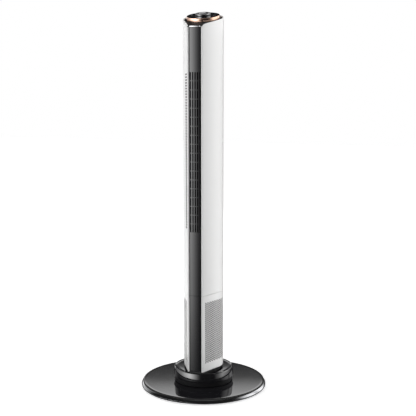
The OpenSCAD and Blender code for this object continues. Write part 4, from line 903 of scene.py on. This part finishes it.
# The intake grille behind is one white moulding with three columns of wide slots. Four screws
# with domed heads hold its corners.
GRILLE_ROWS, GRILLE_PITCH, GRILLE_FRAME = 43, 9.293, 6.0
RIB = BARREL_R * math.radians(4)
SPAN = BARREL_R * math.radians(32)
GRILLE_SLOT_H, SPAN_STEPS = 0.58 * GRILLE_PITCH, 6
grille_cell = slot_cell("grille_cell", width=SPAN, height=GRILLE_PITCH, length=SPAN - RIB,
                        slot_h=GRILLE_SLOT_H, depth=WALL, steps=SPAN_STEPS)
slats = punched(grille_cell, casing_white, columns=3, rows=GRILLE_ROWS, column_pitch=SPAN,
                row_pitch=GRILLE_PITCH, first_column=-SPAN,
                first_row=GRILLE_LOW + GRILLE_FRAME + GRILLE_PITCH / 2)
end_u = (SPAN - RIB - GRILLE_SLOT_H) / 2
cell_lines = sorted({round(k * SPAN + d, 6) for k in (-1, 0, 1)
                     for d in (-SPAN / 2, *np.linspace(-end_u, end_u, SPAN_STEPS + 1), SPAN / 2)})
edge = BARREL_R * math.radians(51.7)
grille_lines = np.array([-edge, *cell_lines, edge])
outer = np.array([on_section(u) for u in grille_lines])
inner = np.array([on_section(u, -WALL) for u in grille_lines])
rows = [GRILLE_LOW + GRILLE_FRAME + k * GRILLE_PITCH / 2 for k in range(2 * GRILLE_ROWS + 1)]
levels = [GRILLE_LOW, *rows, GRILLE_LOW + GRILLE_H]
kept = np.ones((len(outer) - 1, len(levels) - 1), int)
kept[1:-1, 1:-1] = -1
add_piece("intake_grille", *wall_mesh(outer, inner, levels, kept), casing_white, "column",
          "casing_white", ["rear_grille"], [slats])
intake_screw = screw_mesh("intake_screw", head_r=2.2, top_r=1.5, head_h=0.9, shank_r=1.3, shank=3.0)
add_piece("intake_screws", [], [], zinc_steel, "column", "steel", ["grille_screws"], [repeated(
    screw_tree, intake_screw, zinc_steel, **{
        "Per circle": 2, "Rows": 2, "Circle": 0.0509, "First angle": math.radians(41),
        "Angle step": math.radians(98), "Low height": (GRILLE_LOW + GRILLE_FRAME / 2) * 0.001,
        "Row step": (GRILLE_H - GRILLE_FRAME) * 0.001, "Lean": math.pi / 2})])

# The front strip is gloss black plastic in two lengths, with a slight bulge and rounded edges. Its
# flanges sit behind the white lips. The upper length has five long outlet slots, with crossbars
# behind its face.
STRIP_HALF, STRIP_FACE, STRIP_T, BULGE_R = 15.6, -76.563, 3.4, 85.0
FLANGE_HALF, FLANGE_T, STRIP_EDGE = 18.2, 2.0, 1.5
SLOT_W, SLOT_STEP, OUTLET_LOW, CELL, CROSSBAR, BARS = 3.2, 6.1, 420.4, 22.2, 1.8, 17
OUTLET_HIGH = OUTLET_LOW + (BARS + 1) * CELL - CROSSBAR
EDGE_LINE = 0.6
strip_black = gloss_black("strip_black", 1.6)


def bulge(x, behind=0.0):
    """Depth of the strip's face at x, or of a face that lies behind it."""
    return STRIP_FACE + BULGE_R - math.sqrt((BULGE_R - behind) ** 2 - x * x)


def strip_run(stations):
    """Paired front and rear points of the strip's section, from its right flange to its left."""
    rear = STRIP_FACE + STRIP_T
    curl = STRIP_HALF - STRIP_EDGE
    right = [(FLANGE_HALF, rear), (STRIP_HALF, rear)]
    right += [(curl + STRIP_EDGE * math.cos(a), bulge(curl) + STRIP_EDGE * (1 - math.sin(a)))
              for a in np.radians([0, 18, 36, 54, 72])]
    front = right + [(x, bulge(x)) for x in stations] + [(-x, y) for x, y in reversed(right)]
    return np.array(front), np.array([(x, rear + FLANGE_T) for x, y in front])


plain_lines = np.linspace(14, -14, 29)
front, rear = strip_run(plain_lines)
add_piece("lower_strip_face", *wall_mesh(
    front, rear, [FOOT_Z, FOOT_Z + EDGE_LINE, SEAM_LOW - EDGE_LINE, SEAM_LOW]),
    strip_black, "column", "gloss_black", ["lower_strip"])

slot_centres = [(2 - k) * SLOT_STEP for k in range(5)]
slot_lines = [14.05, *[c + d for c in slot_centres for d in (SLOT_W / 2, 0, -SLOT_W / 2)], -14.05]
front, rear = strip_run(slot_lines)
turns = np.radians([90, 60, 30, 0])
low_end, high_end = OUTLET_LOW + SLOT_W / 2, OUTLET_HIGH - SLOT_W / 2
DECK_Z, DECK_T, DECK_GAP = 947.5, 3.0, 0.2
STRIP_TOP = DECK_Z + STRIP_FACE * math.tan(TILT) - DECK_T / math.cos(TILT) - DECK_GAP
levels = [SEAM_HIGH, SEAM_HIGH + EDGE_LINE,
          *[low_end - SLOT_W / 2 * math.sin(a) for a in turns],
          *[high_end + SLOT_W / 2 * math.sin(a) for a in turns[::-1]],
          STRIP_TOP - EDGE_LINE, STRIP_TOP]
narrowing = [0, 0, *np.cos(turns), *np.cos(turns[::-1]), 0, 0]
kept = np.ones((len(front) - 1, len(levels) - 1), int)
first = 8
for k in range(5):
    kept[first + 3 * k:first + 3 * k + 2, 2:9] = 0
vertices, faces = wall_mesh(front, rear, levels, kept)
m, n = len(levels), len(front)
for k, centre in enumerate(slot_centres):
    for station, sign in ((first + 3 * k, 1), (first + 3 * k + 2, -1)):
        for j in range(2, 10):
            for index in (station * m + j, n * m + station * m + j):
                x = centre + sign * SLOT_W / 2 * narrowing[j]
                y = vertices[index][1]
                vertices[index] = (x, bulge(x) if index < n * m else y, vertices[index][2])
add_piece("outlet_strip", vertices, faces, strip_black, "column", "gloss_black", ["front_strip"])

stack_tree, bench, size = repeat_tree("stacked_bars", {
    "Count": 1, "First height": 0.0, "Pitch": 0.02})
height = size["First height"] + bench.amount("GeometryNodeInputIndex") * size["Pitch"]
hand_out(bench, size, set_out(
    bench, size, size["Count"], bench.amount("ShaderNodeCombineXYZ", sockets={"Z": height})))

BAR_BACK, BAR_LINE = 1.0, 0.3
bar_lines = np.linspace(14.0, -14.0, 15)
front = np.array([(x, bulge(x, BAR_BACK)) for x in bar_lines])
rear = np.array([(x, STRIP_FACE + STRIP_T - 0.1) for x in bar_lines])
vertices, faces = wall_mesh(front, rear, [0, BAR_LINE, CROSSBAR - BAR_LINE, CROSSBAR])
bar_mesh = bpy.data.meshes.new("crossbar")
bar_mesh.from_pydata([tuple(v) for v in vertices * 0.001], [], faces)
add_piece("outlet_crossbars", [], [], strip_black, "column", "gloss_black", [], [repeated(
    stack_tree, bar_mesh, strip_black, **{
        "Count": BARS, "First height": (OUTLET_LOW + CELL - CROSSBAR) * 0.001,
        "Pitch": CELL * 0.001})])

# The air duct is satin black plastic: floor, ceiling, scroll and tongue wall. The cross-flow
# impeller turns in it between the motor below and a rubber bearing above.
dress(satin_black, "duct_floor", "duct_ceiling", "scroll_wall", "tongue_wall", "impeller")
dress(motor_can, "fan_motor")
dress(black_rubber, "motor_mounts", "upper_bearing")
dress(zinc_steel, "motor_screws", "motor_shaft", "top_pivot")

# The sloping top is a dull black deck in the mouth of the casing. Its nose passes between the lips
# over a bright metal cap on the strip, which stands in for the highlight along the strip's top
# edge:
# a painted highlight. Screws from below hold the copper coloured ring, which has a thin groove
# round its brushed face.
def on_top(vertices):
    """Leans points from the deck's own frame onto the sloping top."""
    c, s = math.cos(TILT), math.sin(TILT)
    return [(x, y * c - z * s, DECK_Z + y * s + z * c) for x, y, z in vertices]


def leaned(outline, steps=160):
    """Turns a closed outline and leans it onto the sloping top."""
    vertices, faces = turned(outline, steps)
    return on_top(vertices), faces


nose_y, taper_y, deck_r = STRIP_FACE + 0.85, LIP_Y + 3.8, BARREL_R - WALL - DECK_GAP
lean = TURN - math.radians(90)
flank_end = (deck_r - 0.02 + taper_y * math.sin(lean)) / math.cos(lean)
deck_plan = [(STRIP_HALF, nose_y), (STRIP_HALF, taper_y), (flank_end, taper_y)]
deck_plan += [(deck_r * math.cos(a), deck_r * math.sin(a))
              for a in np.linspace(-lean, math.radians(90), 30)]
deck_plan += [(-x, y) for x, y in reversed(deck_plan[:-1])]
n = len(deck_plan)
slope = math.tan(TILT)
vertices = [(x, y, DECK_Z + y * slope - drop) for drop in (0, DECK_T / math.cos(TILT))
            for x, y in deck_plan]
faces = [(i, (i + 1) % n, n + (i + 1) % n, n + i) for i in range(n)]
faces += [tuple(reversed(range(n))), tuple(range(n, 2 * n))]
add_piece("sloping_deck", vertices, faces, dull_black, "column", "matte_black", ["top_deck"],
          rounding=0.5)
dress(zinc_steel, "deck_screws")

# The bright metal cap below stands in for the highlight on the strip's top edge: a painted
# highlight.
CAP_HALF, CAP_BACK, CAP_LIFT, CAP_H = 14.2, 0.1, 0.3, 2.0
bright_metal = even_finish(
    "bright_metal", dark=(0.58, 0.59, 0.60), light=(0.66, 0.66, 0.67), patches=(0.004, 2),
    rough=(0.10, 0.20), sheen=(0.001, 3), skin=(0.0006, 2), depth=0.000004, Metallic=1.0)
cap_lines = np.linspace(CAP_HALF, -CAP_HALF, 19)
front = np.array([(x, bulge(x, CAP_BACK)) for x in cap_lines])
rear = np.array([(x, nose_y - 0.05) for x in cap_lines])
cap_low = STRIP_TOP + CAP_LIFT
add_piece("strip_cap", *wall_mesh(front, rear, [cap_low, cap_low + CAP_H]), bright_metal, "column",
          "knob_trim", rounding=0.25)

copper_plating, bench, shader, place = new_finish("copper_plating", Metallic=1.0)
level = bench.amount("ShaderNodeMapping", {"vector_type": "TEXTURE"}, {
    "Vector": place, "Location": (0, 0, DECK_Z * 0.001), "Rotation": (TILT, 0, 0)})
feed(bench, shader, "Base Color", blend_of(
    bench, grain(bench, place, 0.02, 3), (0.78, 0.50, 0.37), (0.84, 0.58, 0.46)))
feed(bench, shader, "Roughness", 0.14 + 0.16 * turned_lines(bench, level, 0.0006))
relief(bench, shader, turned_lines(bench, level, 0.0004), 0.000006)
RING_R, RING_IN, PANEL_SEAT_R, PANEL_SEAT_Z = 41.3, 36.2, 40.6, 6.5
RING_FOOT, RING_ROLL, RING_BEND = 0.3, 0.7, 8.6
RING_FACE = [(0.62, 1.5), (0.42, 4.6), (0.15, 4.8), (0.15, 5.0), (0.38, 5.2), (0.05, RING_BEND)]
add_piece("copper_band", *leaned([
    (RING_IN, 0.0), (RING_R + 0.4, 0.0), *bow(RING_R + 0.4, RING_FOOT, RING_FOOT, -60, 0, 3),
    *[(RING_R + out, z) for out, z in RING_FACE],
    *bow(RING_R + 0.05 - RING_ROLL, RING_BEND, RING_ROLL, 5, 90, 5), (40.9, 9.25),
    (PANEL_SEAT_R, 9.0), (PANEL_SEAT_R, PANEL_SEAT_Z), (RING_IN, PANEL_SEAT_Z)]),
    copper_plating, "column", "copper_ring", ["panel_ring"])

# The control panel is a gloss black disc set in the ring, with a smoked light window on each side
# of the knob. Its board and the knob's encoder sit below.
dress(gloss_black("panel_black", 1.4), "control_panel")
smoked_lens = even_finish(
    "smoked_lens", dark=(0.09, 0.095, 0.10), light=(0.14, 0.145, 0.15), patches=(0.002, 2),
    rough=(0.10, 0.20), sheen=(0.001, 3), skin=(0.0008, 2), depth=0.00001, IOR=1.49)
dress(smoked_lens, "indicator_lenses")
dress(board_green, "control_board")
dress(motor_can, "encoder_body")

# The speed knob is gloss black plastic with a dished middle, pushed on a steel shaft that it turns
# with. A bright metal trim is let into the dish's edge.
KNOB_R, KNOB_LOW, KNOB_TOP, KNOB_BORE_R, KNOB_STEPS = 19.0, 9.9, 14.9, 3.0, 128
KNOB_FOOT, KNOB_ROLL, DISH_T = 0.5, 0.9, 1.0
DISH_R, DISH_Z, TRIM_OUT, TRIM_LOW, TRIM_HIGH = 13.4, 12.7, 15.3, 13.5, 13.8
DISH_FLOOR = [(DISH_R, 0), (11.0, 0.05), (6.0, 0.12), (0, 0.15), (0, DISH_T)]
dress(zinc_steel, "knob_shaft")
add_piece("speed_knob", *leaned([
    (KNOB_BORE_R, KNOB_LOW), (KNOB_R - 0.7, KNOB_LOW),
    *bow(KNOB_R - KNOB_FOOT, KNOB_LOW + KNOB_FOOT, KNOB_FOOT, -60, 0, 3),
    *bow(KNOB_R - KNOB_ROLL, KNOB_TOP - KNOB_ROLL, KNOB_ROLL, 0, 90, 8),
    (16.4, KNOB_TOP), (16.0, KNOB_TOP - 0.2), (TRIM_OUT, TRIM_HIGH), (TRIM_OUT, TRIM_LOW),
    *[(r, DISH_Z - dip) for r, dip in DISH_FLOOR], (KNOB_BORE_R, DISH_Z - DISH_T)], KNOB_STEPS),
    gloss_black("knob_black", 3.2), "knob_body", "gloss_black", ["knob"])
add_piece("knob_dish_trim", *leaned([
    (DISH_R, DISH_Z), (TRIM_OUT, TRIM_LOW), (TRIM_OUT, TRIM_HIGH),
    (TRIM_OUT - 0.15, TRIM_HIGH + 0.15), (14.6, 13.65), (14.0, 13.3), (DISH_R, 12.95)],
    KNOB_STEPS),
    bright_metal, "knob_body", "knob_trim", ["knob_trim"])
